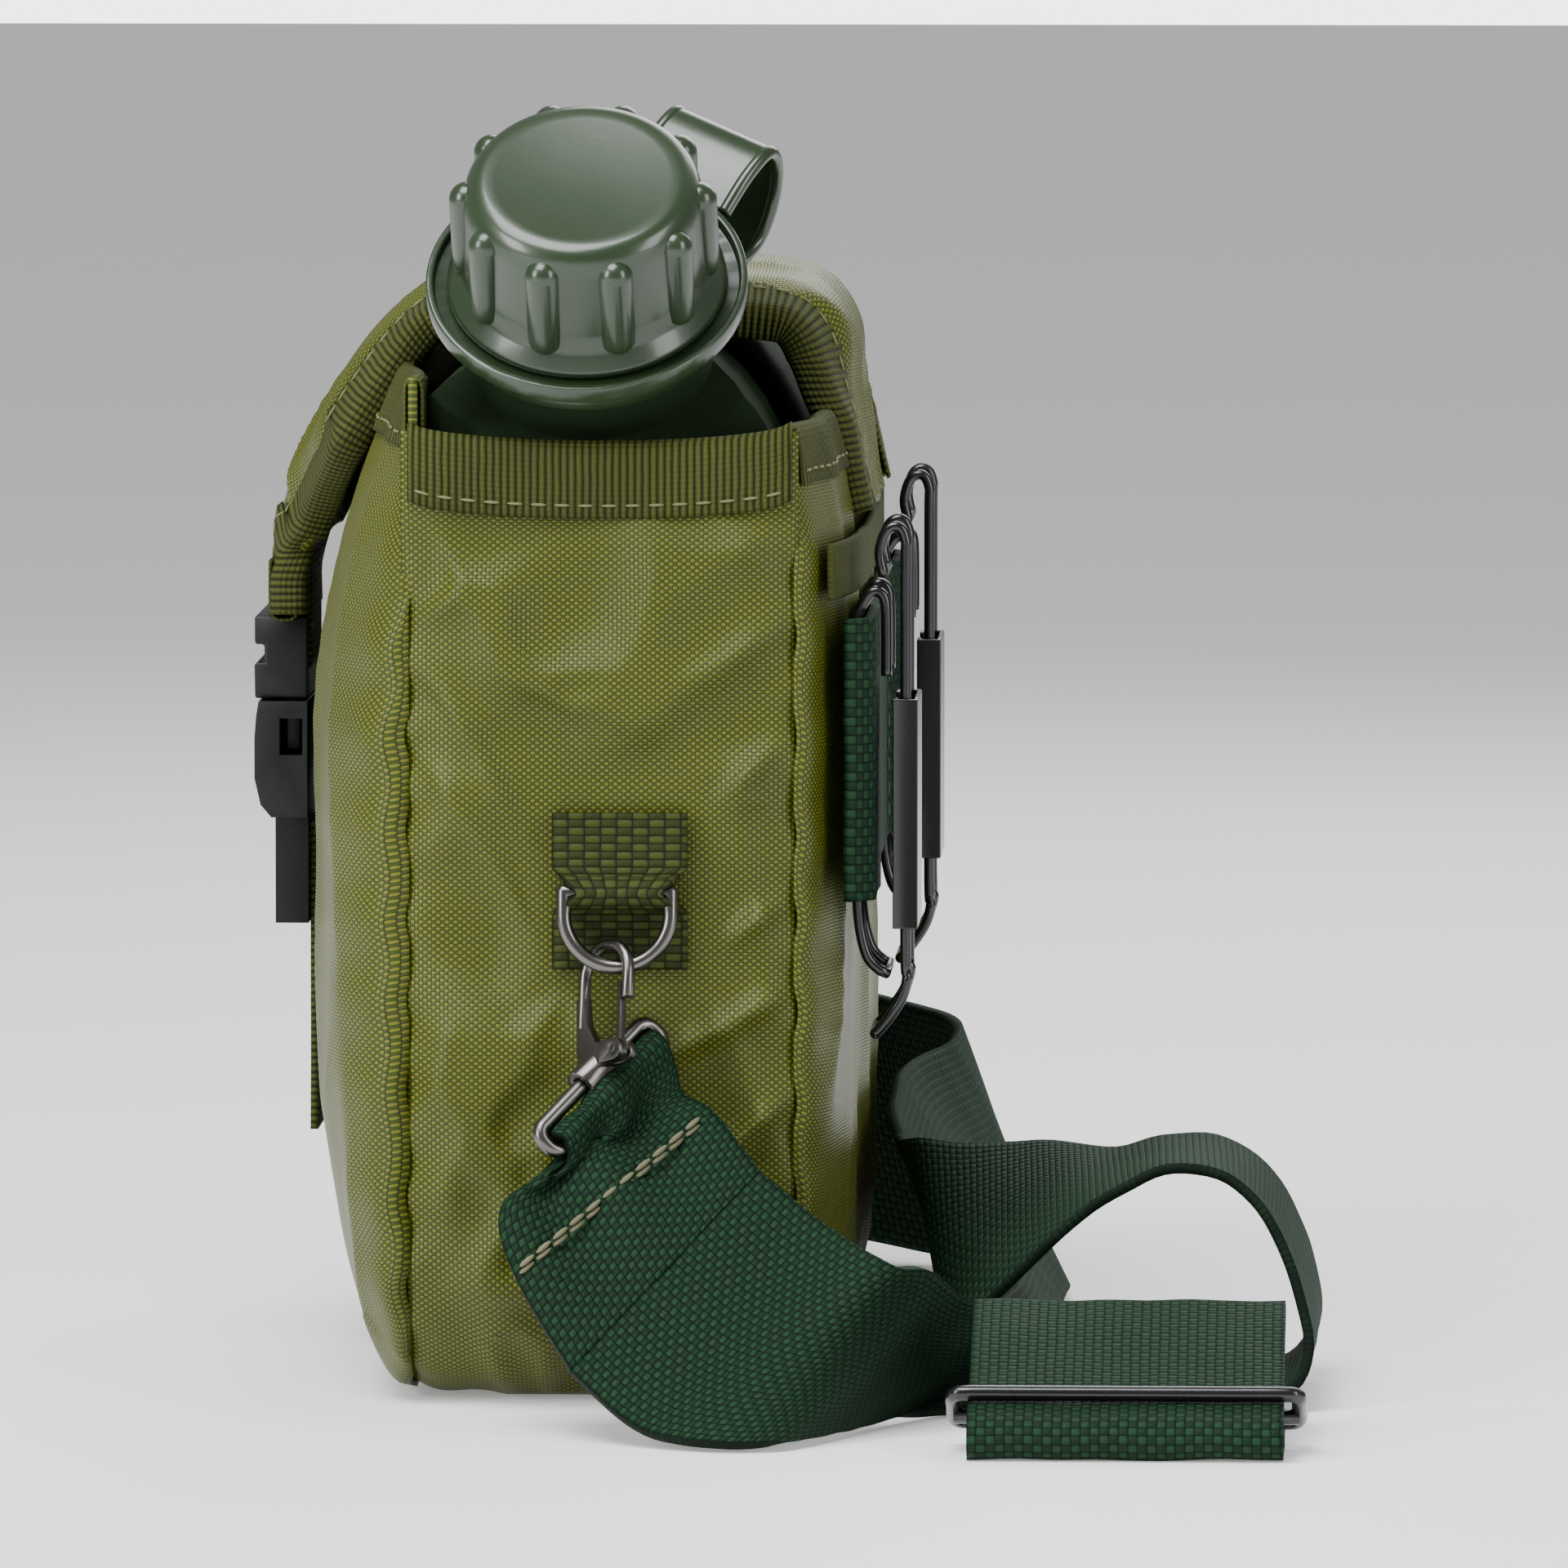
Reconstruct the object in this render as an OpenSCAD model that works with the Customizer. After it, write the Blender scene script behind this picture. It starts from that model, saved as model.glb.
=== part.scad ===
// Two-quart field canteen in a nylon cover, with a shoulder strap and two belt clips.
// Frame: origin at the middle of the cover's flat base, +Z up, the buckle side faces -Y,
// the belt clips face +Y, and the neck leans out over the +X side.

/* [Cover] */
// Half of the cover's width
half_w = 93; // [91:0.5:95]
// Height of the front panel
panel_top = 166; // [160:1:170]
// Height of the side gusset
gusset_top = 158.5; // [150:0.5:159]
// Distance of the front seam from the middle
seam_front = 34; // [32:0.5:36]
// Distance of the back seam from the middle
seam_back = 31.5; // [30:0.5:33]
// How far the front panel bulges past its seam
front_bulge = 18; // [17:0.5:20]
// How far the back panel bulges past its seam
back_bulge = 7.5; // [6.5:0.5:8.5]
// Thickness of the padded cover wall
wall = 1.8; // [1:0.1:2]
// Radius of the cover's lower corners
corner_r = 22; // [15:1:26]
// Width of the edge binding
binding_w = 11.5; // [9:0.5:13]

/* [Bottle] */
// Half of the bottle's width
bottle_half_w = 89; // [87:0.5:89.5]
// Height of the bottle's shoulder
bottle_top = 174; // [172:0.5:175]
// Wall of the bottle
bottle_wall = 1.8; // [1.2:0.1:2.4]
// Lean of the neck away from upright, in degrees
neck_lean = 41; // [40:0.5:42]
// Outer radius of the neck under its thread
neck_r = 16; // [15.8:0.1:16.1]
// Radius of the bore in the neck
bore_r = 13.8; // [13:0.1:14]
// Rise of the thread in one turn
thread_pitch = 5; // [4:0.5:6]

/* [Cap] */
// Radius of the cap's wall
cap_r = 19.9; // [19.6:0.1:20.2]
// Height of the cap's top above the retainer ring
cap_top = 25.5; // [25:0.5:27]
// Number of grip ribs
cap_ribs = 10; // [6:1:14]
// Radius of the retainer's cap ring
ring_r = 26; // [25.5:0.5:27]

/* [Flap] */
// Near edge of the flap
flap_near = 42; // [38:1:42]
// Far edge of the flap
flap_far = -46; // [-52:1:-42]
// Thickness of the padded flap
flap_t = 4; // [3:0.2:4.2]

/* [Webbing] */
// Width of the shoulder strap's webbing
strap_w = 50; // [46:1:50]
// Thickness of the shoulder strap
strap_t = 2; // [1.4:0.1:2.2]
// Width of the front strap's webbing
front_strap_w = 25; // [20:1:26]

/* [Clips] */
// Middle of the near belt clip along X
clip_near_x = 68; // [62:1:70]
// Middle of the far belt clip along X
clip_far_x = -62; // [-70:1:-58]
// Half of the distance between a clip's two wires
clip_half = 9; // [8:0.5:10]

/* [Hidden] */
$fn = 48;

tall = 220;               // longer than anything in the part
front_full_z = 88;        // the front panel is fullest from this height
front_lean_z = 100;       // above this the front panel leans in
front_lean = 14;          // how far it has leaned in at its top
back_full_z = 60;         // the back panel is fullest from this height
back_lean_z = 130;        // above this the back panel leans in
back_lean = 7;            // how far it has leaned in at its top
lean_rise = 66;           // height over which the front panel leans in
back_lean_rise = 36;      // the same for the back panel
outline_steps = 20;       // points along half of a bulge

olive = "#5b6230";
webbing_green = "#2f4a38";
bottle_green = "#3c5238";
cap_green = "#3f5a3c";
black_plastic = "#1c1d1d";
gunmetal = "#5d5f63";

// ---------- curves and helpers ----------

// A bulge that rises quickly from 0 at s = 1 to 1 at s = 0
function dome(s, power) = sqrt(max(0, 1 - pow(min(1, abs(s)), power)));

function front_y(x, t) = seam_front + front_bulge * dome(x / (half_w - t), 3) - t;

function back_y(x, t) = seam_back + back_bulge * dome(x / (half_w - t), 4) - t;

function front_z(z, t) =
    z < front_full_z
    ? seam_front + front_bulge * dome((front_full_z - z) / (front_full_z - t), 3) - t
    : seam_front + front_bulge - t - front_lean * pow(max(0, z - front_lean_z) / lean_rise, 2);

function back_z(z, t) =
    z < back_full_z
    ? seam_back + back_bulge * dome((back_full_z - z) / (back_full_z - t), 4) - t
    : seam_back + back_bulge - t - back_lean * pow(max(0, z - back_lean_z) / back_lean_rise, 2);

// Steps that crowd together near the end of a bulge, from -1 to 1
function crowded(n) = [for (i = [-n:n]) sin(90 * i / n)];

function reversed(list) = [for (i = [len(list) - 1:-1:0]) list[i]];

// Unit normals of a flat line of points
function line_normal(p, i) =
    let (a = p[max(0, i - 1)], b = p[min(len(p) - 1, i + 1)], d = b - a)
    [-d[1], d[0]] / norm(d);

// A strip of thickness t laid along a flat line of points, to its left by side = 1
function strip(p, t, side) = concat(
    p, reversed([for (i = [0:len(p) - 1]) p[i] + side * t * line_normal(p, i)]));

// A smooth line through hand-set points, n steps between each two
function smooth(p, n) = concat(
    [for (i = [0:len(p) - 2], k = [0:n - 1])
        let (a = p[max(0, i - 1)], b = p[i], c = p[i + 1], d = p[min(len(p) - 1, i + 2)], u = k / n)
        0.5 * (2 * b + (c - a) * u + (2 * a - 5 * b + 4 * c - d) * u * u
            + (3 * b - 3 * c + d - a) * u * u * u)],
    [p[len(p) - 1]]);

// Extrude a shape drawn in X and Z, between two places along Y
module xz_extrude(y0, y1)
{
    translate([0, y1, 0])
        rotate([90, 0, 0])
            linear_extrude(y1 - y0)
                children();
}

// Extrude a shape drawn in Y and Z, between two places along X
module yz_extrude(x0, x1)
{
    translate([x0, 0, 0])
        rotate([90, 0, 90])
            linear_extrude(x1 - x0)
                children();
}

module box(a, b)
{
    translate(a)
        cube(b - a);
}

// A round bar between two points
module bar(a, b, r)
{
    d = b - a;
    translate(a)
        rotate([0, acos(d[2] / norm(d)), atan2(d[1], d[0])])
            cylinder(h = norm(d), r = r);
}

// Unit direction of a line of points at point i; a loop runs on past its last point
function heading(p, i, loop) = let (n = len(p),
    a = p[loop ? (i + n - 1) % n : max(0, i - 1)], b = p[loop ? (i + 1) % n : min(n - 1, i + 1)])
    (b - a) / norm(b - a);

// The part of s that is square to the direction t
function squared(s, t) = (s - (s * t) * t) / norm(s - (s * t) * t);

// A side direction carried along a line of points without twisting
function carried(p, loop, start) = [
    for (i = 0, s = squared(start, heading(p, 0, loop)); i < len(p); i = i + 1,
        s = i < len(p) ? squared(s, heading(p, i, loop)) : s) s];

// A bent wire through a list of points
module tube(p, r, start, loop = false)
{
    sides = 12;
    n = len(p);
    across = carried(p, loop, start);
    points = [for (i = [0:n - 1], k = [0:sides - 1])
        let (t = heading(p, i, loop), u = across[i], a = 360 * k / sides)
        p[i] + r * (cos(a) * u + sin(a) * cross(t, u))];
    skin = [for (i = [0:(loop ? n - 1 : n - 2)], k = [0:sides - 1])
        let (a = i * sides, b = ((i + 1) % n) * sides, j = (k + 1) % sides)
        each [[a + k, b + k, b + j], [a + k, b + j, a + j]]];
    ends = loop ? [] : [for (k = [1:sides - 2])
        each [[0, k, k + 1], [(n - 1) * sides, (n - 1) * sides + k + 1, (n - 1) * sides + k]]];
    polyhedron(points, concat(skin, ends));
}

// A flat ribbon through pairs of edge points, thick across its face
function ribbon_normal(e, i) =
    let (a = max(0, i - 1), b = min(len(e) - 1, i + 1),
        d = (e[b][0] + e[b][1] - e[a][0] - e[a][1]) / 2,
        n = cross(d, e[i][1] - e[i][0]))
    n / norm(n);

module ribbon(edges, t, first, last)
{
    n = last - first + 1;
    points = [for (i = [first:last], k = [[0, -1], [1, -1], [1, 1], [0, 1]])
        edges[i][k[0]] + ribbon_normal(edges, i) * t / 2 * k[1]];
    sides = [for (i = [0:n - 2], k = [0:3])
        [4 * i + k, 4 * i + 4 + k, 4 * i + 4 + (k + 1) % 4, 4 * i + (k + 1) % 4]];
    caps = [[0, 1, 2, 3], [for (k = [3:-1:0]) 4 * (n - 1) + k]];
    triangles = [for (f = concat(sides, caps), k = [[0, 1, 2], [0, 2, 3]]) [for (j = k) f[j]]];
    polyhedron(points, triangles);
}

// ---------- cover ----------

function plan_outline(t) = let (w = half_w - t, s = crowded(outline_steps)) concat(
    [for (u = s) [u * w, -front_y(u * w, t)]],
    [for (u = reversed(s)) [u * w, back_y(u * w, t)]]);

function side_outline(t) = let (s = [for (i = [0:outline_steps]) 1 - cos(90 * i / outline_steps)]) concat(
    [for (u = s) let (z = t + u * (front_full_z - t)) [-front_z(z, t), z]],
    [for (z = [front_lean_z:8:tall]) [-front_z(z, t), z]],
    reversed([for (z = [back_lean_z:8:tall]) [back_z(z, t), z]]),
    reversed([for (u = s) let (z = t + u * (back_full_z - t)) [back_z(z, t), z]]));

module cover_front_outline(t)
{
    difference()
    {
        union()
        {
            translate([-half_w + t, corner_r])
                square([2 * (half_w - t), tall]);
            translate([-half_w + corner_r, t])
                square([2 * (half_w - corner_r), corner_r + 1]);
            for (s = [-1, 1])
                translate([s * (half_w - corner_r), corner_r])
                    circle(corner_r - t);
        }
        translate([-tall, panel_top + (t > 0 ? 1 : 0)])
            square([2 * tall, tall]);
    }
}

module cover_pillow(t)
{
    intersection()
    {
        translate([0, 0, -1])
            linear_extrude(tall)
                polygon(plan_outline(t));
        yz_extrude(-tall, tall)
            polygon(side_outline(t));
        xz_extrude(-tall, tall)
            cover_front_outline(t);
    }
}

module cover_shell()
{
    difference()
    {
        cover_pillow(0);
        cover_pillow(wall);
    }
}

module front_panel()
{
    color(olive)
        intersection()
        {
            cover_shell();
            box([-tall, -tall, -1], [tall, -seam_front + wall, tall]);
        }
}

module back_panel()
{
    hem = 0.6;
    color(olive)
        intersection()
        {
            cover_shell();
            difference()
            {
                box([-tall, seam_back - wall, -1], [tall, tall, gusset_top]);
                box([flap_far - hem, 0, hinge_z + 1.6], [flap_near + hem, tall, tall]);
            }
        }
}

module side_gusset()
{
    color(olive)
        intersection()
        {
            cover_shell();
            box([-tall, -seam_front + wall, -1], [tall, seam_back - wall, gusset_top]);
        }
}

// Webbing folded over the top edge of one side of the gusset
module top_binding(side)
{
    skin = 0.9;
    inner_h = 5;
    x = half_w;
    y0 = -seam_front + wall;
    y1 = seam_back - wall;
    color(olive)
        scale([side, 1, 1])
            union()
            {
                box([x, y0, gusset_top - binding_w + skin], [x + skin, y1, gusset_top + skin]);
                box([x - wall, y0, gusset_top], [x + skin, y1, gusset_top + skin]);
                box([x - wall - skin, y0, gusset_top - inner_h], [x - wall, y1, gusset_top + skin]);
            }
}

module binding_near() { top_binding(1); }

module binding_far() { top_binding(-1); }

function back_strip(x_end, gap, t, over) = strip(
    [for (u = crowded(24)) let (x = u * x_end, y = back_y(x, 0) + gap)
        [x, y + max(0, over - y) * tunnel(x)]], t, 1);

// 1 over a clip's two wires, falling to 0 beside them
function tunnel(x) = max(tunnel_at(x - clip_near_x), tunnel_at(x - clip_far_x));

function tunnel_at(d) = let (flat = 12.5, ramp = 9)
    abs(d) < flat ? 1 : abs(d) > flat + ramp ? 0 : 0.5 + 0.5 * cos(180 * (abs(d) - flat) / ramp);

seam_z = [131, 140];
band_z = [82, 127.8];
band_end = 86;
band_t = 1.8;
clip_wire_r = 0.9;
clip_leg_y = 39.6;
band_over = clip_leg_y + clip_wire_r + 0.35;    // inner face of the band where it passes over a clip

module back_seam_band()
{
    color(olive)
        translate([0, 0, seam_z[0]])
            linear_extrude(seam_z[1] - seam_z[0])
                polygon(back_strip(88, 0.1, 1.2, 0));
}

module back_band()
{
    color(webbing_green)
        translate([0, 0, band_z[0]])
            linear_extrude(band_z[1] - band_z[0])
                polygon(back_strip(band_end, 0.1, band_t, band_over));
}

// ---------- bottle ----------

neck_at = [80, -4, 180.3];    // middle of the retainer's cap ring, on the neck's axis
shoulder_s = -14;             // the slanted shoulder, measured along the neck's axis
mouth_s = 16;
bottle_mid_z = 88.5;
bottle_half_h = 85.5;
bottle_front = 46.5;
bottle_back = 33.5;

// Local frame of the neck: its axis is local Z
module on_neck()
{
    translate(neck_at)
        rotate([0, neck_lean, 0])
            children();
}

function bottle_ring(w, h, f, b, steps) = let (s = crowded(steps)) concat(
    [for (u = s) [u * w, -f * pow(max(0, 1 - pow(abs(u), 3.5)), 0.45)]],
    [for (u = reversed(s)) if (abs(u) < 1) [u * w, b * pow(max(0, 1 - pow(abs(u), 3.5)), 0.45)]]);

module bottle_blank(t)
{
    w = bottle_half_w - t;
    h = bottle_half_h - t;
    round_r = 24 - t;
    intersection()
    {
        linear_extrude(tall)
            polygon(bottle_ring(w, h, bottle_front - t, bottle_back - t, 14));
        translate([0, 0, bottle_mid_z])
            yz_extrude(-tall, tall)
                rotate(90)
                    mirror([0, 1])
                        polygon(bottle_ring(h, w, bottle_front - t, bottle_back - t, 14));
        xz_extrude(-tall, tall)
            translate([0, bottle_mid_z])
                for (s = [-1, 1])
                {
                    square([2 * w, 2 * (h - round_r)], center = true);
                    square([2 * (w - round_r), 2 * h], center = true);
                    for (v = [-1, 1])
                        translate([s * (w - round_r), v * (h - round_r)])
                            circle(round_r);
                }
        on_neck()
            box([-tall, -tall, -2 * tall], [tall, tall, shoulder_s - t]);
    }
}

module bottle()
{
    collar_r = 20;
    collar_s = -6;
    flare_r = 18.4;
    thread_r = neck_r + 1.6;
    thread_s = [4, 13];
    color(bottle_green)
        difference()
        {
            union()
            {
                bottle_blank(0);
                on_neck()
                    rotate_extrude($fn = 64)
                        polygon([
                            [0, shoulder_s - 1.4], [collar_r, shoulder_s - 1.4],
                            [collar_r, collar_s - 1], [collar_r - 1, collar_s],
                            [neck_r, collar_s], [neck_r, mouth_s], [0, mouth_s]]);
                on_neck()
                    thread(neck_r - 0.4, thread_r, thread_s[0], thread_s[1]);
            }
            bottle_blank(bottle_wall);
            on_neck()
                rotate_extrude($fn = 64)
                    polygon([
                        [0, shoulder_s - bottle_wall - 0.1], [flare_r, shoulder_s - bottle_wall - 0.1],
                        [bore_r, collar_s], [bore_r, mouth_s + 1], [0, mouth_s + 1]]);
        }
}

// A helical ridge with a triangular section
module thread(r0, r1, s0, s1)
{
    steps = 20;
    half = 1.3;
    count = floor((s1 - s0) / thread_pitch * steps);
    section = [[r0, -half], [r1, -half / 4], [r1, half / 4], [r0, half]];
    points = [for (i = [0:count], q = section)
        [q[0] * cos(360 * i / steps), q[0] * sin(360 * i / steps), s0 + thread_pitch * i / steps + q[1]]];
    sides = [for (i = [0:count - 1], k = [0:3])
        [4 * i + k, 4 * i + 4 + k, 4 * i + 4 + (k + 1) % 4, 4 * i + (k + 1) % 4]];
    caps = [[0, 1, 2, 3], [for (k = [3:-1:0]) 4 * count + k]];
    polyhedron(points, [for (f = concat(sides, caps), k = [[0, 1, 2], [0, 2, 3]]) [for (j = k) f[j]]]);
}

// ---------- cap and retainer ----------

running_gap = 0.08;
cap_inner_r = 17.95;
boss_s = 17.8;
groove_r = 19.5;

module cap()
{
    flange_r = 22.6;
    rib_out = 1.6;
    rib_w = 5;
    top_in = cap_top - 2;
    boss_r = 15.2;
    color(cap_green)
        difference()
        {
            on_neck()
                difference()
                {
                    union()
                    {
                        rotate_extrude($fn = 96)
                            polygon([
                                [0, -1.5], [groove_r + 0.9, -1.5], [groove_r + 0.9, -0.5], [groove_r, -0.15],
                                [groove_r, 2.2], [flange_r, 2.2], [flange_r, 3.6], [cap_r, 6.2],
                                [cap_r - 0.6, cap_top - 2.4], [cap_r - 1.6, cap_top - 0.6],
                                [cap_r - 3.2, cap_top], [0, cap_top]]);
                        for (i = [0:cap_ribs - 1])
                            rotate(360 * (i + 0.5) / cap_ribs)
                                hull_free_rib(cap_r, rib_out, rib_w);
                    }
                    translate([0, 0, -2])
                        cylinder(r = cap_inner_r, h = boss_s + 2);
                    translate([0, 0, boss_s - 0.1])
                        difference()
                        {
                            cylinder(r = cap_inner_r, h = top_in - boss_s);
                            cylinder(r = boss_r, h = top_in - boss_s);
                        }
                    translate([0, 0, boss_s - 0.1])
                        cylinder(r = boss_r - 2, h = top_in - boss_s);
                }
        }
}

// One grip rib, tapering in towards the cap's top
module hull_free_rib(r, out, w)
{
    rotate([90, 0, 0])
        linear_extrude(w, center = true)
            polygon([[r - 1.2, 5.2], [r + out + 0.3, 5.2], [r + out, cap_top - 6], [r - 0.3, cap_top - 2.6],
                [r - 1.9, cap_top - 2.6]]);
}

module cap_liner()
{
    color("#20241f")
        on_neck()
            translate([0, 0, mouth_s + 0.35])
                cylinder(r = 15, h = boss_s - 0.1 - mouth_s - 0.35);
}

module retainer_cap_ring()
{
    rim_w = 1.2;
    color(cap_green)
        on_neck()
            rotate_extrude($fn = 96)
                polygon([[groove_r + running_gap, 0.2], [ring_r, 0.2], [ring_r, 3.4], [ring_r - rim_w, 3.4],
                    [ring_r - rim_w, 1.8], [groove_r + running_gap, 1.8]]);
}

module retainer_neck_ring()
{
    color(cap_green)
        on_neck()
            rotate_extrude($fn = 96)
                polygon([[neck_r + 0.3, -5.5], [22, -5.5], [22, -2.5], [neck_r + 0.3, -2.5]]);
}

// Route of the retainer loop: distance from the neck's axis and height along it
loop_route = [[26.4, 1.2], [33, 4.4], [39.5, 4.6], [42.3, -1], [41, -8], [36, -13.5], [29, -13], [22.3, -5.6]];
loop_turn = 148;
loop_w = 18;

module retainer_loop()
{
    color(cap_green)
        on_neck()
            rotate(loop_turn)
                xz_extrude(-loop_w / 2, loop_w / 2)
                    polygon(strip(smooth(loop_route, 5), 1.8, -1));
}

// ---------- flap, buckle and front strap ----------

hinge_y = 40.5;
hinge_z = 139;

// Outer side of the flap, from its front tip over the top to the back seam
flap_route = [
    [-59.2, 123.4], [-59.2, 131], [-58.9, 138.7], [-52.8, 152.5], [-43.6, 167], [-33.4, 176.5], [-20, 180.3],
    [0, 181.2], [20.6, 180.2], [30.4, 177.9], [35.8, 170.3], [36.8, 160], [38.6, 150], [40.4, 142.6]];

module flap_blank(t0, t1, x0, x1)
{
    line = smooth(flap_route, 3);
    outer = [for (i = [0:len(line) - 1]) line[i] + t0 * line_normal(line, i)];
    inner = [for (i = [0:len(line) - 1]) line[i] - t1 * line_normal(line, i)];
    yz_extrude(x0, x1)
        polygon(concat(outer, reversed(inner)));
}

// What is cut away beside the narrow tip
module flap_taper()
{
    xz_extrude(-80, -36)
        polygon([[19, 100], [19, 134], [22, 139], [flap_near, 157], [flap_near + 9, 157], [tall, 100]]);
    xz_extrude(-80, -36)
        polygon([[-19, 100], [-19, 134], [-22, 139], [flap_far, 157], [flap_far - 9, 157], [-tall, 100]]);
}

module flap()
{
    color(olive)
        difference()
        {
            flap_blank(0, flap_t, flap_far, flap_near);
            flap_taper();
        }
}

module flap_binding()
{
    skin = 0.8;
    reach = 10;
    color(olive)
        difference()
        {
            union()
            {
                flap_blank(skin, -0.02, flap_near - reach, flap_near);
                flap_blank(skin, -0.02, flap_far, flap_far + reach);
            }
            flap_taper();
        }
}

buckle_split = 108.8;         // height where the two buckle halves meet
buckle_y = [-62.6, -53.8];    // outer and inner face of the buckle
male_z = [109.2, 123];
arm_x = [10.4, 13.4];
arm_travel = 2.4;

module flap_strap()
{
    color(olive)
        box([-front_strap_w / 2, -54.85, male_z[0] + 5.4], [front_strap_w / 2, -53.25, 137]);
}

module buckle_male()
{
    w = 16;
    gap = 0.35;
    color(black_plastic)
        union()
        {
            difference()
            {
                box([-w, buckle_y[0], male_z[0]], [w, buckle_y[1], male_z[1]]);
                box([-front_strap_w / 2 - gap, -55.2, male_z[0] + 5], [front_strap_w / 2 + gap, -53, tall]);
                for (s = [-1, 1])
                    scale([s, 1, 1])
                        box([arm_x[0] - arm_travel - gap, -58.2, male_z[0] - 1],
                            [arm_x[1] + gap, -54.6, male_z[0] + 4]);
                box([-w - 1, buckle_y[0] - 1, male_z[0] + 6], [w + 1, buckle_y[0] + 1.6, male_z[0] + 9]);
            }
            box([-3, -57.6, 100.4], [3, -55.1, male_z[0] + 1]);
        }
}

module buckle_arm(side)
{
    color(black_plastic)
        scale([side, 1, 1])
            box([arm_x[0], -57.6, 100.4], [arm_x[1], -55, male_z[0] + 3.6]);
}

module buckle_arm_near() { buckle_arm(1); }

module buckle_arm_far() { buckle_arm(-1); }

module buckle_female()
{
    w = 17.5;
    low = 89.5;
    slot_gap = 3.4;
    color(black_plastic)
        union()
        {
            difference()
            {
                yz_extrude(-w, w)
                    polygon([[buckle_y[1], low], [-59.8, low], [-61.6, 91.6], [buckle_y[0], 96],
                        [buckle_y[0], 102.6], [-62.3, 106.4], [-61.9, buckle_split], [buckle_y[1], buckle_split]]);
                box([-14.2, -61.5, 93], [14.2, -54.5, tall]);
                box([-w - 1, -58.4, 99.8], [w + 1, -54.6, 106]);
            }
            difference()
            {
                box([-15, -59.3, 71.7], [15, buckle_y[1], low + 0.5]);
                for (z = [75.2, 82.6])
                    box([-front_strap_w / 2 - 0.5, -tall, z], [front_strap_w / 2 + 0.5, 0, z + slot_gap]);
            }
        }
}

module front_strap()
{
    line = [for (z = [37:4:89]) [-front_z(z, 0) - 0.15, z]];
    color(olive)
        yz_extrude(-front_strap_w / 2, front_strap_w / 2)
            polygon(strip(line, 1.5, 1));
}

// ---------- side tabs, D-rings and snap hooks ----------

d_bar = [97.6, 1.6, 84.5];    // middle of the D-ring's straight bar
d_r = 1.2;                    // radius of the D-ring's wire
d_half = 8.6;                 // half of its width, to the middle of the wire
d_arm = 3.5;
d_tilt = 10;
tab_loop_r = 2.6;

module side_tab()
{
    base_t = 1.3;
    x = half_w + 0.05;
    color(olive)
        difference()
        {
            union()
            {
                box([x, -8.5, 72], [x + base_t, 13.5, 97]);
                xz_extrude(-5, 8.2)
                    union()
                    {
                        translate([d_bar[0], d_bar[2]])
                            circle(tab_loop_r, $fn = 64);
                        polygon([[x + 0.5, 97], [x + base_t + 1, 97], [d_bar[0] + 1.6, d_bar[2] + 2],
                            [d_bar[0] + 1, d_bar[2] - 1], [d_bar[0] - 2, d_bar[2] - 1.6],
                            [x + 0.5, d_bar[2] - 2.6]]);
                    }
            }
            translate([d_bar[0], -20, d_bar[2]])
                rotate([-90, 0, 0])
                    cylinder(h = 40, r = d_r + running_gap, $fn = 64);
        }
}

module d_ring()
{
    color(gunmetal)
        translate(d_bar)
            rotate([0, -d_tilt, 0])
            {
                bar([0, -d_half, 0], [0, d_half, 0], d_r);
                for (s = [-1, 1])
                {
                    translate([0, s * d_half, 0])
                        sphere(r = d_r);
                    bar([0, s * d_half, 0], [0, s * d_half, -d_arm], d_r);
                }
                translate([0, 0, -d_arm])
                    rotate([0, 90, 0])
                        rotate([0, 0, -90])
                            rotate_extrude(angle = 180)
                                translate([d_half, 0])
                                    circle(d_r, $fn = 24);
            }
}

hook_at = [99.9, 0, 71.2];    // middle of the hook's nose
hook_lean = 22;
hook_turn = 45;
nose_r = 5.2;
nose_wire = 1;
foot = [-3.4, 0, -16.2];      // middle of the strap ring's bar in the hook's frame
gate_pin = [3.6, 0, -13.2];
gate_pin_r = 0.7;

module on_hook()
{
    translate(hook_at)
        rotate([0, -hook_lean, 0])
            rotate([0, 0, hook_turn])
                children();
}

// The same move for a single point
function hook_point(p) =
    let (x = p[0] * cos(hook_turn) - p[1] * sin(hook_turn), y = p[0] * sin(hook_turn) + p[1] * cos(hook_turn))
    hook_at + [x * cos(hook_lean) - p[2] * sin(hook_lean), y, x * sin(hook_lean) + p[2] * cos(hook_lean)];

ring_wire = 1.3;
ring_half = 14.6;
ring_drop = 4.8;
ring_along = [-5.9, 5.7, 5.7] / norm([-5.9, 5.7, 5.7]);
ring_pull = [3.3, 2, -8.7];
ring_down = (ring_pull - (ring_pull * ring_along) * ring_along)
    / norm(ring_pull - (ring_pull * ring_along) * ring_along);
ring_side = cross(ring_along, ring_down);

// Local frame of the strap ring: X along its bars, Z from its lower bar up to its top bar
module on_ring()
{
    a = ring_along;
    b = ring_side;
    c = -ring_down;
    o = hook_point(foot);
    multmatrix([[a[0], b[0], c[0], o[0]], [a[1], b[1], c[1], o[1]], [a[2], b[2], c[2], o[2]]])
        children();
}

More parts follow.
